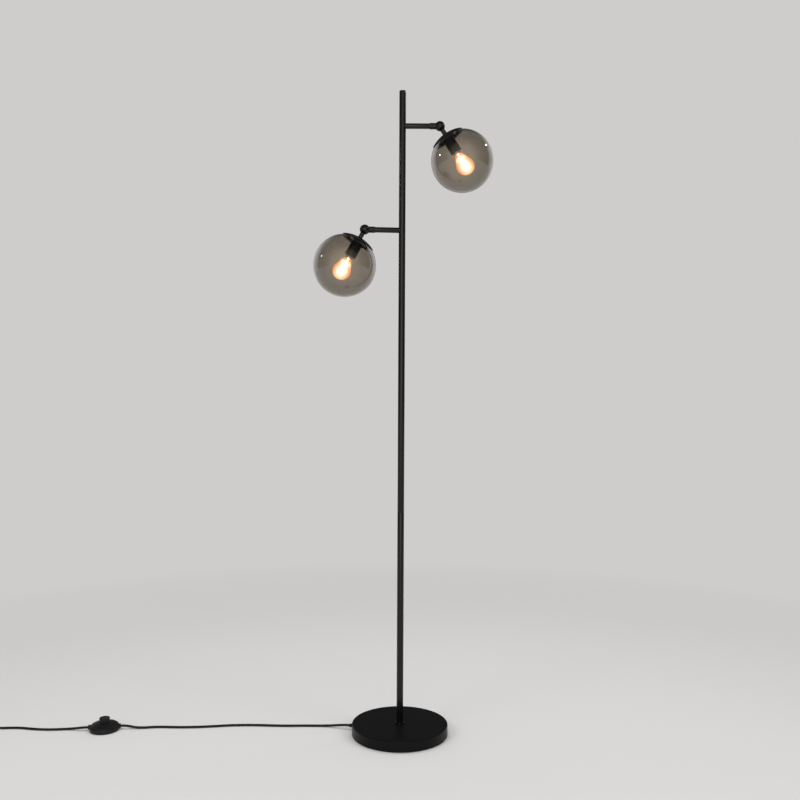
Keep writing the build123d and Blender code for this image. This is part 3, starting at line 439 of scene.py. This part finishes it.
def coated(name, colour, rough, rough_more, grain, bump, distance=0.0001, dust=0.1, dust_colour=(0.16, 0.155, 0.15),
           tint=1.25, metal=0.0, specular=0.5):
    """A finished solid surface: cloudy colour with dust, cloudy gloss and a fine skin.

    The colour drifts up to the tint's share lighter with the clouds."""
    material, tree, shader = new_material(name)
    skin = place_group(tree, "skin", Grain=grain)
    specks = place_group(tree, "dust", Amount=dust)
    clouds = mixed_colour(tree, skin.outputs["Cloudy"], colour, [part * tint for part in colour])
    dusty = mixed_colour(tree, specks.outputs["Mask"], clouds, dust_colour)
    gloss = spread(tree, skin.outputs["Cloudy"], 0.0, 1.0, rough, rough_more)
    gloss = math_node(tree, "ADD", gloss, math_node(tree, "MULTIPLY", specks.outputs["Mask"], 0.3))
    raised = tree.nodes.new("ShaderNodeBump")
    feed(tree, raised, Strength=bump, Distance=distance, Height=skin.outputs["Height"])
    feed(tree, shader, Base_Color=dusty, Roughness=gloss, Normal=raised.outputs["Normal"], Metallic=metal,
         Specular_IOR_Level=specular)
    return material


def smoked_glass(name, smoke, deep):
    """Clear glass tinted all through, deeper where the view passes through more of the wall.

    Shadow rays pass, dimmed, so that the lit bulb's shade stays light. The tint drifts a little, as in blown glass."""
    straight_on, slanted, drift_scale, drift_most = 0.05, 0.33, 11.0, 0.06
    material, tree, shader = new_material(name)
    slant = tree.nodes.new("ShaderNodeLayerWeight")
    feed(tree, slant, Blend=0.5)
    drift = noise(tree, object_place(tree), drift_scale, detail=2.0)
    thick = math_node(tree, "ADD", spread(tree, slant.outputs["Facing"], straight_on, slanted, 0.0, 1.0),
                      spread(tree, drift, 0.3, 0.7, -drift_most, drift_most))
    feed(tree, shader, Base_Color=mixed_colour(tree, thick, smoke, deep), Roughness=0.0, IOR=1.47,
         Transmission_Weight=1.0)
    clear = tree.nodes.new("ShaderNodeBsdfTransparent")
    feed(tree, clear, Color=[sqrt(part) for part in smoke])
    mix_to_surface(tree, tree.nodes.new("ShaderNodeLightPath").outputs["Is Shadow Ray"], shader, clear)
    return material


def unlit_by_bounces(tree, amount):
    """An emission strength that only sight and gloss see, and gloss weaker, so that it throws no specks of light."""
    mirrored_share = 0.55
    rays = tree.nodes.new("ShaderNodeLightPath")
    direct = math_node(tree, "LESS_THAN", rays.outputs["Diffuse Depth"], 0.5)
    calm = spread(tree, rays.outputs["Glossy Depth"], 0.0, 1.0, 1.0, mirrored_share)
    return math_node(tree, "MULTIPLY", math_node(tree, "MULTIPLY", direct, calm), amount)


def lit_glass(name, core, ring, rim, strength):
    """The glass of a lit bulb: clear, with the light burnt out in the middle and orange towards the edge.

    The colour follows the angle at which the glass is seen: core, then ring, then rim. That angle counts for less
    near the neck and near the tip, so that the burnt out part is long and narrow, as the strands inside are. The
    collar is shaded. Places run along the head, from the knuckle's axis."""
    core_until, ring_at, rim_from = 0.07, 0.19, 0.70
    neck_starts, neck_ends, neck_share = 0.092, 0.106, 0.40
    tip_starts, tip_ends, tip_share = 0.118, 0.132, 0.50
    shade_starts, shade_ends, shade_more = 0.080, 0.090, 0.45
    material, tree, shader = new_material(name)
    facing = tree.nodes.new("ShaderNodeLayerWeight")
    feed(tree, facing, Blend=0.5)
    along = tree.nodes.new("ShaderNodeAttribute")
    along.attribute_name = "along"
    neck = spread(tree, along.outputs["Fac"], neck_starts, neck_ends, neck_share, 1.0)
    tip = spread(tree, along.outputs["Fac"], tip_starts, tip_ends, 1.0, tip_share)
    turn = math_node(tree, "MULTIPLY", facing.outputs["Facing"], math_node(tree, "MULTIPLY", neck, tip))
    turn = math_node(tree, "ADD", turn, spread(tree, along.outputs["Fac"], shade_starts, shade_ends, shade_more, 0.0))
    ramp = tree.nodes.new("ShaderNodeValToRGB")
    steps = ramp.color_ramp.elements
    steps[0].position, steps[1].position = core_until, rim_from
    steps[0].color, steps[1].color = (*core, 1.0), (*rim, 1.0)
    steps.new(ring_at).color = (*ring, 1.0)
    tree.links.new(turn, ramp.inputs["Fac"])
    feed(tree, shader, Base_Color=(1.0, 0.90, 0.78), Roughness=0.02, IOR=1.45, Transmission_Weight=1.0,
         Emission_Color=ramp.outputs["Color"], Emission_Strength=unlit_by_bounces(tree, strength))
    material.cycles.emission_sampling = "AUTO"
    return material


def glowing(name, colour, strength):
    """A part that shines by itself, a little unevenly."""
    material, tree, shader = new_material(name)
    speckle = spread(tree, noise(tree, object_place(tree), 2500.0), 0.3, 0.7, 0.0, 1.0)
    feed(tree, shader, Base_Color=(0.9, 0.7, 0.35), Roughness=0.6,
         Emission_Color=mixed_colour(tree, speckle, colour, [part * 0.85 for part in colour]),
         Emission_Strength=unlit_by_bounces(tree, strength))
    material.cycles.emission_sampling = "NONE"
    return material


def finish_for(slot):
    """The material for a slot of the frame's record, or for the foot's cover, made once."""
    name = f"finish_{slot}"
    made = bpy.data.materials.get(name)
    if made:
        return made
    look = settings().finish
    lacquer, moulding, jacket = tuple(look.lacquer), tuple(look.moulding), tuple(look.jacket)
    finishes = {
        "black_lacquer": dict(colour=lacquer, rough=0.22, rough_more=0.27, grain=120.0, bump=0.004, specular=0.34,
                              dust=0.012),
        "foot_lacquer": dict(colour=lacquer, rough=0.36, rough_more=0.42, grain=260.0, bump=0.015, specular=0.13,
                             dust=0.02),
        "cast_weight": dict(colour=(0.10, 0.10, 0.10), rough=0.55, rough_more=0.8, grain=500.0, bump=0.6,
                            distance=0.0004, metal=1.0),
        "zinc_steel": dict(colour=(0.60, 0.61, 0.62), rough=0.28, rough_more=0.42, grain=900.0, bump=0.1, metal=1.0,
                           dust=0.03),
        "spring_steel": dict(colour=(0.52, 0.52, 0.53), rough=0.18, rough_more=0.30, grain=900.0, bump=0.05,
                             metal=1.0, dust=0.0),
        "foot_rubber": dict(colour=(0.018, 0.018, 0.018), rough=0.60, rough_more=0.80, grain=800.0, bump=0.4,
                            distance=0.0002, specular=0.3),
        "black_rubber": dict(colour=moulding, rough=0.42, rough_more=0.55, grain=800.0, bump=0.15, specular=0.25),
        "cord_jacket": dict(colour=jacket, rough=0.36, rough_more=0.50, grain=900.0, bump=0.08, specular=0.22,
                            dust=0.08),
        "wire_jacket": dict(colour=(0.04, 0.04, 0.045), rough=0.40, rough_more=0.5, grain=900.0, bump=0.1, dust=0.0),
        "natural_plastic": dict(colour=(0.62, 0.60, 0.54), rough=0.40, rough_more=0.55, grain=900.0, bump=0.1),
        "black_plastic": dict(colour=moulding, rough=0.30, rough_more=0.42, grain=900.0, bump=0.10, specular=0.25,
                              dust=0.10),
        "brass_nickel": dict(colour=(0.66, 0.62, 0.52), rough=0.20, rough_more=0.34, grain=900.0, bump=0.05,
                             metal=1.0, dust=0.0),
        "brass_bare": dict(colour=(0.72, 0.50, 0.22), rough=0.22, rough_more=0.36, grain=900.0, bump=0.05,
                           metal=1.0, dust=0.0),
    }
    return coated(name, **finishes[slot])


def paint(piece, material):
    """Makes a material the only one of a piece."""
    piece.data.materials.clear()
    piece.data.materials.append(material)


def wear(piece, slot, material=None):
    """Gives a new piece the finish of the record's slot, or another material."""
    paint(piece, material or finish_for(slot))


# ------------------------------------------------------------------ cord routes in millimetres, as the CAD has them
def mm_points(points):
    """Points in millimetres as vectors in metres."""
    return [Vector(point) * MM for point in points]


EXIT_TURN = radians(167.5)                  # direction in which the cord leaves the foot
EXIT_WAY = Vector((cos(EXIT_TURN), sin(EXIT_TURN), 0))
EXIT_UP = UP * 9.5                          # height of the cord in the foot's wall
BLOCK_FACE, GLAND_END = 99.0, 126.0         # terminal block and sleeve's end, from the pole's axis
SWITCH_TURN = radians(8.25)
SWITCH_WAY = Vector((cos(SWITCH_TURN), sin(SWITCH_TURN), 0))
SWITCH_MIDDLE = Vector((-716.9, 16.2, 8.0))
SNOUT_PLACES = (50.0, 37.8, 28.0)           # clear of the switch, at its snout's end and inside it
CORD_FLOOR = 2.8                            # height of the cord's middle where it lies on the floor

# From the terminal block through the sleeve, over the floor and into the switch.
BASE_ROUTE = mm_points(
    [EXIT_WAY * place + EXIT_UP for place in (BLOCK_FACE, GLAND_END + 2, GLAND_END + 14)]
    + [(x, y, CORD_FLOOR) for x, y in (
        (-176.0, 42.0), (-232.0, 42.2), (-290.0, 40.0), (-348.0, 44.6), (-412.0, 43.4),
        (-478.0, 31.2), (-536.0, 27.2), (-592.0, 30.8), (-636.0, 21.8))]
    + [SWITCH_MIDDLE + SWITCH_WAY * place for place in SNOUT_PLACES]
)
COIL_MIDDLE = Vector((-1034.0, -20.0, 0.0))
COIL_IN, COIL_OUT = 25.4, 37.0              # radii of the innermost and the outermost turn
COIL_LOW, COIL_HIGH = CORD_FLOOR, 8.6       # heights of the two layers
TURN_STEPS = 16                             # points for each turn
PLUG_HEIGHT = 7.0


def coil_points():
    """The coil's turns: radius and height follow the number of turns made in three straight stretches.

    Two turns wind inwards on the floor, a short stretch climbs, and two turns wind outwards on top."""
    marks = [0.0, 2.0, 2.2, 4.2]
    turned_by = np.arange(0, marks[-1] + 0.5 / TURN_STEPS, 1 / TURN_STEPS)
    angle = pi / 2 + 2 * pi * turned_by
    radius = np.interp(turned_by, marks, [COIL_OUT, COIL_IN, COIL_IN, COIL_OUT]) / cos(pi / TURN_STEPS)
    height = np.interp(turned_by, marks, [COIL_LOW, COIL_LOW, COIL_HIGH, COIL_HIGH])
    ring = np.stack([radius * np.cos(angle), radius * np.sin(angle), height], axis=-1)
    return (ring + np.array(COIL_MIDDLE)).tolist()


# From the switch over the floor, round the coil and into the plug.
PLUG_ROUTE = (
    mm_points([SWITCH_MIDDLE - SWITCH_WAY * place for place in reversed(SNOUT_PLACES)])
    + mm_points([(x, y, CORD_FLOOR) for x, y in (
        (-797.0, 14.5), (-850.0, 8.0), (-892.0, 12.5), (-925.0, 20.5), (-966.0, 17.0), (-1006.0, 17.0))])
    + mm_points(coil_points())
    + mm_points([(-1071.0, -26.0, COIL_HIGH), (-1071.2, -36.0, 8.0), (-1072.5, -50.0, PLUG_HEIGHT),
                 (-1072.5, -62.0, PLUG_HEIGHT)])
)


class PlaceCords(bpy.types.Operator):
    """Lays the cord from the foot to the switch, and from the switch through the coil to the plug"""

    bl_idname = "floor_lamp.place_cords"
    bl_label = "Cords"

    def execute(self, context):
        lay_cord("cord_to_switch", BASE_ROUTE, "base_cord")
        lay_cord("cord_to_plug", PLUG_ROUTE, "switch_cord", "cord_coil")
        make_tie().name
        return {"FINISHED"}


def make_tie():
    """The wire tie around the coil, in millimetres: a flat band, and its two ends twisted together.

    The band is a four sided strip carried round a rectangle with rounded corners, whose point at angle a is
    half size * sign(cos a) * |cos a| to the power 0.35, and the same with the sine. The ends are two coils about one
    line: point = line + radius * (side * cos(turn) + up * sin(turn))."""
    steps, half_width, thick, square = 96, 1.9, 0.45, 0.35
    side_room, top_room = 2.95, 2.78            # from the cord's middle to the band
    end_length, end_drop, twists, twist_radius, wire = 15.0, 2.5, 3, 0.8, 0.75
    where = radians(-38.0)
    out = np.array((cos(where), sin(where), 0.0))
    round_coil = np.array((-sin(where), cos(where), 0.0))
    up = np.array((0.0, 0.0, 1.0))
    middle = np.array(COIL_MIDDLE) + out * (COIL_IN + COIL_OUT) / 2 + up * (COIL_LOW + COIL_HIGH) / 2
    half_out, half_up = (COIL_OUT - COIL_IN) / 2 + side_room, (COIL_HIGH - COIL_LOW) / 2 + top_room
    angle = np.arange(steps) * 2 * pi / steps
    bend_out, bend_up = (np.sign(wave) * np.abs(wave) ** square for wave in (np.cos(angle), np.sin(angle)))
    strip = [
        middle + np.outer(bend_out * (half_out + more), out) + round_coil * aside
        + np.outer(bend_up * half_up + np.maximum(bend_up, 0) * more, up)
        for more, aside in ((0.0, -half_width), (thick, -half_width), (thick, half_width), (0.0, half_width))
    ]
    points = np.stack(strip, axis=1).reshape(-1, 3)
    number = np.arange(len(points)).reshape(steps, len(strip))
    band = new_mesh("coil_tie", points * MM, ring_faces(number, closed=True))
    face_outwards(band)
    way = np.linspace(0, 1, 60)
    start = middle + out * (half_out - 0.5) + up * (half_up - 1.5)
    line = start + np.outer(way * end_length, out) - np.outer(end_drop * way**2, up)
    ends = []
    for first in (0.0, pi):
        turn = (first + way * twists * 2 * pi)[:, None]
        path = line + twist_radius * (np.cos(turn) * round_coil + np.sin(turn) * up)
        ends.append(wound_wire("coil_tie_end", path * MM, out, wire * MM, steps=10))
    join_all([band] + ends)
    band.data.set_sharp_from_angle(angle=radians(40))
    wear(band, "black_plastic")
    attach(band, "stand")
    return band


def join_all(pieces):
    """Joins mesh pieces into the first one."""
    with bpy.context.temp_override(active_object=pieces[0], selected_editable_objects=pieces):
        bpy.ops.object.join()


def lay_cord(name, route, *nodes):
    """A round cord in the place of some nodes, on a smooth spline that the route's points control."""
    size = settings().cord
    line = bpy.data.curves.new(name, "CURVE")
    line.dimensions = "3D"
    line.bevel_depth = 1.0
    line.bevel_resolution = 6
    line.resolution_u = 10
    line.use_fill_caps = True
    spline = line.splines.new("NURBS")
    spline.points.add(len(route) - 1)
    spline.points.foreach_set("co", np.array([(*point, 1.0) for point in route]).ravel())
    spline.points.foreach_set("radius", np.full(len(route), size.diameter / 2))
    spline.order_u = 3
    spline.use_endpoint_u = True
    cord = bpy.data.objects.new(name, line)
    put_in_scene(cord)
    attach(cord, "stand")
    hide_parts(*nodes)
    wear(cord, "cord_jacket")
    return cord


# ------------------------------------------------------------------ the rest of the pieces
class DressFrame(bpy.types.Operator):
    """Gives every carried-over solid its finish"""

    bl_idname = "floor_lamp.dress_frame"
    bl_label = "Metal, plastic and rubber"

    def execute(self, context):
        slots = {row["node"]: row["material_slot"] for row in frame["record"]["subparts"]}
        for name, node in frame["nodes"].items():
            if slots[name] not in ("smoked_glass", "bulb_clear_glass", "filament_core"):
                paint(node, finish_for("foot_lacquer" if name == "base_cover" else slots[name]))
        return {"FINISHED"}


class RibSleeve(bpy.types.Operator):
    """Makes the ribbed sleeve that the cord leaves the foot through"""

    bl_idname = "floor_lamp.rib_sleeve"
    bl_label = "Cord sleeve"

    def execute(self, context):
        sleeve = turned("cord_sleeve", sleeve_chain() * MM, EXIT_UP * MM, EXIT_WAY, steps=72)
        sleeve.data.set_sharp_from_angle(angle=radians(50))
        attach(sleeve, "stand")
        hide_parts("cord_gland")
        wear(sleeve, "black_rubber")
        return {"FINISHED"}


def sleeve_chain():
    """Profile of the sleeve, in millimetres: a neck in the wall, a rounded flange and a ribbed taper.

    On the taper, radius = straight taper - groove depth * (1 - |sin(ribs * pi * way)|) squared, where way runs
    from 0 at the flange to 1 at the end. The end is dished around the cord."""
    wall, inwards, neck = 114.9, 9.0, 4.2
    flange, thick, edge = 6.0, 3.0, 0.8
    start, finish, ribs, groove, dish = 4.7, 3.8, 5, 0.8, 0.7
    turn = np.linspace(0, pi / 2, 7)
    rounded = np.stack([flange - edge + edge * np.cos(turn), wall + thick - edge + edge * np.sin(turn)], axis=-1)
    way = np.linspace(0, 1, 61)
    taper = start + (finish - start) * way - groove * (1 - np.abs(np.sin(ribs * pi * way))) ** 2
    places = wall + thick + (GLAND_END - wall - thick) * way
    return np.vstack([
        [(0, wall - inwards), (neck, wall - inwards), (neck, wall), (flange, wall)], rounded,
        np.stack([taper, places], axis=-1), [(finish - 0.5, GLAND_END - dish / 2), (0, GLAND_END - dish)],
    ])


class DrawTubes(bpy.types.Operator):
    """Makes the pole's three lengths and the two arms as fine round tubes"""

    bl_idname = "floor_lamp.draw_tubes"
    bl_label = "Pole and arms"

    def execute(self, context):
        wall = settings().finish.tube_wall
        for name in ("pole_lower", "pole_middle", "pole_upper"):
            low, high, outer = reach_along(name, (0, 0, 0), UP)
            draw_tube(name, (0, 0, 0), UP, low, high, outer, wall)
        for side in SIDES:
            pivot, arm, _ = head_axes(side)
            start = (0, 0, pivot.z)
            low, high, outer = reach_along(f"{side}_arm", start, arm)
            draw_tube(f"{side}_arm", start, arm, low, high, outer, wall)
        return {"FINISHED"}


def draw_tube(node, start, along, low, high, outer, wall):
    """One lacquered tube in the place of a solid."""
    tube = turned_wall(f"{node}_tube", tube_loop(outer - wall, outer, low, high), start, along)
    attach(tube, "stand")
    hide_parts(node)
    wear(tube, "black_lacquer")


class WindSpring(bpy.types.Operator):
    """Winds the spring under the foot switch's button"""

    bl_idname = "floor_lamp.wind_spring"
    bl_label = "Button spring"

    def execute(self, context):
        low, high = (np.array(corner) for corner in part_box("button_spring"))
        wire, turns = 0.9 * MM, 7
        middle, radius = (low + high) / 2, (high[0] - low[0] - wire) / 2
        bottom, height = low[2] + wire / 2, high[2] - low[2] - wire
        spring = wound_wire("button_coil", helix(middle[:2], radius, bottom, height, turns), UP, wire / 2, steps=12)
        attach(spring, "stand")
        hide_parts("button_spring")
        wear(spring, "spring_steel")
        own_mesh(spring)
        return {"FINISHED"}


def helix(middle, radius, bottom, height, turns):
    """Points of a spring: (middle + radius * (cos angle, sin angle), bottom + height * way)."""
    steps_a_turn = 28
    way = np.linspace(0, 1, turns * steps_a_turn + 1)
    angle = 2 * pi * turns * way
    return np.stack([middle[0] + radius * np.cos(angle), middle[1] + radius * np.sin(angle),
                     bottom + height * way], axis=-1)


def globe_chain(size):
    """Profile of a blown globe: outer arc, fire-polished lip at the mouth, and inner arc.

    The lip is half an ellipse as wide as the wall is there, and as deep as half the wall."""
    arc_steps, lip_steps = 120, 14
    outer, inner = size.diameter / 2, size.diameter / 2 - size.wall
    mouth = size.centre - sqrt(inner**2 - (size.mouth / 2) ** 2)
    lip = mouth + size.wall / 2
    ends = [acos((size.centre - lip) / radius) for radius in (outer, inner)]
    walls_out = arc(size.centre, outer, pi, ends[0], arc_steps)
    walls_in = arc(size.centre, inner, ends[1], pi, arc_steps)
    edge_out, edge_in = walls_out[-1, 0], walls_in[0, 0]
    angle = np.linspace(0, pi, lip_steps)[1:-1]
    bead = np.stack([(edge_out + edge_in) / 2 + (edge_out - edge_in) / 2 * np.cos(angle),
                     lip - size.wall / 2 * np.sin(angle)], axis=-1)
    return np.vstack([walls_out, bead, walls_in])


class BlowGlobes(bpy.types.Operator):
    """Makes the two smoked glass globes"""

    bl_idname = "floor_lamp.blow_globes"
    bl_label = "Globes"

    def execute(self, context):
        size = settings().globe
        glass = smoked_glass("smoked_glass_wall", tuple(size.smoke), tuple(size.deep_smoke))
        for side in SIDES:
            pivot, _, head = head_axes(side)
            globe = turned(f"{side}_smoked_globe", globe_chain(size), pivot, head, steps=160)
            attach(globe, f"{side}_head")
            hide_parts(f"{side}_globe")
            wear(globe, "smoked_glass", glass)
        return {"FINISHED"}


def mark_along(piece, start, way):
    """Keeps each point's distance along a line in the attribute "along": (point - start) dot way."""
    distance = (mesh_points(piece.data) - np.array(start)) @ np.array(way)
    piece.data.attributes.new("along", "FLOAT", "POINT").data.foreach_set("value", distance)


def bulb_chain(size):
    """Profile of the bulb's glass: ball, straight taper and neck, outside and then inside.

    The taper touches the ball where its angle is atan2(neck, distance) + acos(ball / length to the centre)."""
    ball_steps, taper_steps = 60, 10

    def side(ball, neck):
        away = size.centre - size.collar_end
        turn = atan2(neck, away) + acos(ball / hypot(neck, away))
        ball_part = arc(size.centre, ball, pi, turn, ball_steps)
        taper = np.linspace(ball_part[-1], (neck, size.collar_end), taper_steps)[1:]
        return np.vstack([ball_part, taper, [(neck, size.neck_start)]])

    outside = side(size.ball / 2, size.neck / 2)
    inside = side(size.ball / 2 - size.wall, size.neck / 2 - size.wall)
    return np.vstack([outside, inside[::-1]])


class LightBulbs(bpy.types.Operator):
    """Makes the two lit bulbs"""

    bl_idname = "floor_lamp.light_bulbs"
    bl_label = "Bulbs"

    def execute(self, context):
        strand_colour, strand_strength = (1.0, 0.82, 0.55), 7.0
        size = settings().bulb
        glass = lit_glass("lit_bulb_glass", tuple(size.core), tuple(size.ring), tuple(size.rim), size.strength)
        strand = glowing("lit_strand", strand_colour, strand_strength)
        for side in SIDES:
            pivot, _, head = head_axes(side)
            bulb = turned(f"{side}_bulb_ball", bulb_chain(size), pivot, head, steps=72)
            mark_along(bulb, pivot, head)
            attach(bulb, f"{side}_head")
            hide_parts(f"{side}_bulb_glass")
            wear(bulb, "bulb_clear_glass", glass)
            paint(frame["nodes"][f"{side}_filaments"], strand)
        return {"FINISHED"}


class SetStage(bpy.types.Operator):
    """Makes the camera, the floor and the light"""

    bl_idname = "floor_lamp.set_stage"
    bl_label = "Stage"

    def execute(self, context):
        make_camera()
        make_floor()
        make_lights()
        make_world()
        return {"FINISHED"}


def make_camera():
    """A level camera in front of the lamp that leans a little."""
    place = settings().stage
    lens = bpy.data.cameras.new("camera")
    lens.sensor_width = 36.0
    lens.lens = place.focal * lens.sensor_width
    lens.clip_start = 0.05
    lens.clip_end = 60.0
    camera = bpy.data.objects.new("camera", lens)
    put_in_scene(camera)
    turn = Matrix.Rotation(pi / 2, 4, "X") @ Matrix.Rotation(place.roll, 4, "Z")
    camera.matrix_world = Matrix.Translation((place.eye_x, place.eye_y, place.eye_z)) @ turn
    bpy.context.scene.camera = camera


def make_floor():
    """A wide pale disc on the floor that melts into the background: point = radius * (cos angle, sin angle, 0)."""
    melts_from, melts_until = 0.9, 2.2
    pale = tuple(settings().stage.pale)
    steps = 96
    radii = np.array([14.0, 10.0, 7.0, 4.8, 3.4, 2.4, 1.6, 1.0, 0.5])
    angle = np.arange(steps) * 2 * pi / steps
    circle = np.stack([np.cos(angle), np.sin(angle), np.zeros(steps)], axis=-1)
    number = np.arange(len(radii) * steps).reshape(-1, steps)
    points = (radii[:, None, None] * circle).reshape(-1, 3)
    floor = new_mesh("floor", points, ring_faces(number) + [number[-1].tolist()])
    material, tree, shader = new_material("pale_floor")
    feed(tree, shader, Base_Color=pale, Roughness=0.9, Specular_IOR_Level=0.1)
    far = tree.nodes.new("ShaderNodeVectorMath")
    far.operation = "LENGTH"
    tree.links.new(object_place(tree), far.inputs[0])
    beyond = tree.nodes.new("ShaderNodeEmission")
    feed(tree, beyond, Color=pale)
    mix_to_surface(tree, spread(tree, far.outputs["Value"], melts_from, melts_until, 0.0, 1.0), shader, beyond)
    paint(floor, material)


def make_lights():
    """Large soft lights that gloss doesn't mirror, a tall strip for the pole's highlight, and two for the glints."""
    for name, place, aim, width, height, power, mirrored in (
        ("light_left", (-2.2, -2.4, 2.3), (0, 0, 0.8), 1.2, 1.6, 40.0, False),
        ("light_right", (2.4, -1.6, 2.0), (0, 0, 0.9), 1.0, 1.6, 26.0, False),
        ("light_top", (0.0, 0.3, 3.2), (0, 0, 0.6), 2.2, 2.2, 44.0, False),
        ("light_strip", (-0.30, -3.0, 1.05), (0, 0, 0.85), 0.70, 2.2, 9.0, True),
        ("light_glint_left", (-2.6, 0.2, 2.15), (0, 0, 1.3), 0.13, 0.13, 3.0, True),
        ("light_glint_right", (1.7, 0.75, 2.6), (0, 0, 1.3), 0.12, 0.12, 5.0, True),
    ):
        lamp = bpy.data.lights.new(name, "AREA")
        lamp.shape = "RECTANGLE"
        lamp.size, lamp.size_y = width, height
        lamp.energy = power
        piece = bpy.data.objects.new(name, lamp)
        put_in_scene(piece)
        way = Vector(aim) - Vector(place)
        piece.matrix_world = Matrix.Translation(place) @ way.to_track_quat("-Z", "Y").to_matrix().to_4x4()
        piece.visible_glossy = mirrored
        piece.visible_transmission = mirrored


def mirrored_room(tree, pale, sharp):
    """What gloss mirrors: a soft light in front, dim sides, and two pale panels at the back, left and right.

    The panels are full in sharp mirroring, as of glass, and weak in a satin gloss. They fade upwards and towards the
    middle, and all places are parts of the direction's length."""
    front_light, dim, panel = (1.15, 1.05, 0.90), (0.05, 0.05, 0.05), [1.35 * part for part in reversed(pale)]
    satin_share, middle_share, top_share = 0.30, 0.18, 0.15
    way = split_vector(tree, tree.nodes.new("ShaderNodeTexCoord").outputs["Generated"])
    back = spread(tree, way["Y"], 0.28, 0.46, 0.0, 1.0)
    low = spread(tree, way["Z"], 0.45, 0.75, 1.0, top_share)
    aside = spread(tree, math_node(tree, "ABSOLUTE", way["X"]), 0.18, 0.40, middle_share, 1.0)
    panels = math_node(tree, "MULTIPLY", math_node(tree, "MULTIPLY", back, low), aside)
    panels = math_node(tree, "MULTIPLY", panels, spread(tree, sharp, 0.0, 1.0, satin_share, 1.0))
    front = spread(tree, way["Y"], -0.92, -0.40, 1.0, 0.0)
    return mixed_colour(tree, front, mixed_colour(tree, panels, dim, panel), front_light)


def make_world():
    """A pale background that the camera and the glass see, a room that gloss mirrors, and a soft fill light."""
    pale = tuple(settings().stage.pale)
    world = bpy.data.worlds.new("room")
    bpy.context.scene.world = world
    world.use_nodes = True
    tree = world.node_tree
    rays = tree.nodes.new("ShaderNodeLightPath").outputs
    mirrored = math_node(tree, "MINIMUM", rays["Glossy Depth"], 1.0)
    seen = tree.nodes["Background"]
    feed(tree, seen, Strength=1.0,
         Color=mixed_colour(tree, mirrored, pale, mirrored_room(tree, pale, rays["Is Singular Ray"])))
    fill = tree.nodes.new("ShaderNodeBackground")
    feed(tree, fill, Strength=0.45, Color=(1.0, 1.0, 1.0))
    direct = math_node(tree, "MAXIMUM", rays["Is Camera Ray"], rays["Is Transmission Ray"])
    direct = math_node(tree, "MAXIMUM", direct, rays["Is Glossy Ray"])
    mix_to_surface(tree, direct, fill, seen, output="World Output")


# ------------------------------------------------------------------ panel, registering and running
STEPS = (SetStage, WindSpring, PlaceCords, RibSleeve, DressFrame, DrawTubes, BlowGlobes, LightBulbs)


class LampPanel(bpy.types.Panel):
    """The lamp's steps and settings in the sidebar"""

    bl_idname = "VIEW3D_PT_floor_lamp"
    bl_label = "Floor lamp"
    bl_space_type = "VIEW_3D"
    bl_region_type = "UI"
    bl_category = "Floor lamp"

    def draw(self, context):
        for step in STEPS:
            self.layout.operator(step.bl_idname)
        for part in LampSettings.__annotations__:
            group = getattr(settings(), part)
            box = self.layout.box()
            for name in type(group).__annotations__:
                box.prop(group, name)


CLASSES = (GlobeSettings, BulbSettings, CordSettings, FinishSettings, StageSettings, LampSettings, *STEPS, LampPanel)


def register():
    """Registers the classes and puts the settings on the scene."""
    for each in CLASSES:
        bpy.utils.register_class(each)
    bpy.types.Scene.floor_lamp = bpy.props.PointerProperty(type=LampSettings)


def unregister():
    """Takes the settings and the classes away again."""
    del bpy.types.Scene.floor_lamp
    for each in reversed(CLASSES):
        bpy.utils.unregister_class(each)


def main():
    """Builds everything in order."""
    register()
    bpy.context.scene.view_settings.view_transform = "Standard"
    bpy.ops.floor_lamp.set_stage()
    bpy.ops.floor_lamp.wind_spring()
    bpy.ops.floor_lamp.place_cords()
    bpy.ops.floor_lamp.rib_sleeve()
    bpy.ops.floor_lamp.dress_frame()
    bpy.ops.floor_lamp.draw_tubes()
    bpy.ops.floor_lamp.blow_globes()
    bpy.ops.floor_lamp.light_bulbs()


if __name__ == "__main__":
    main()
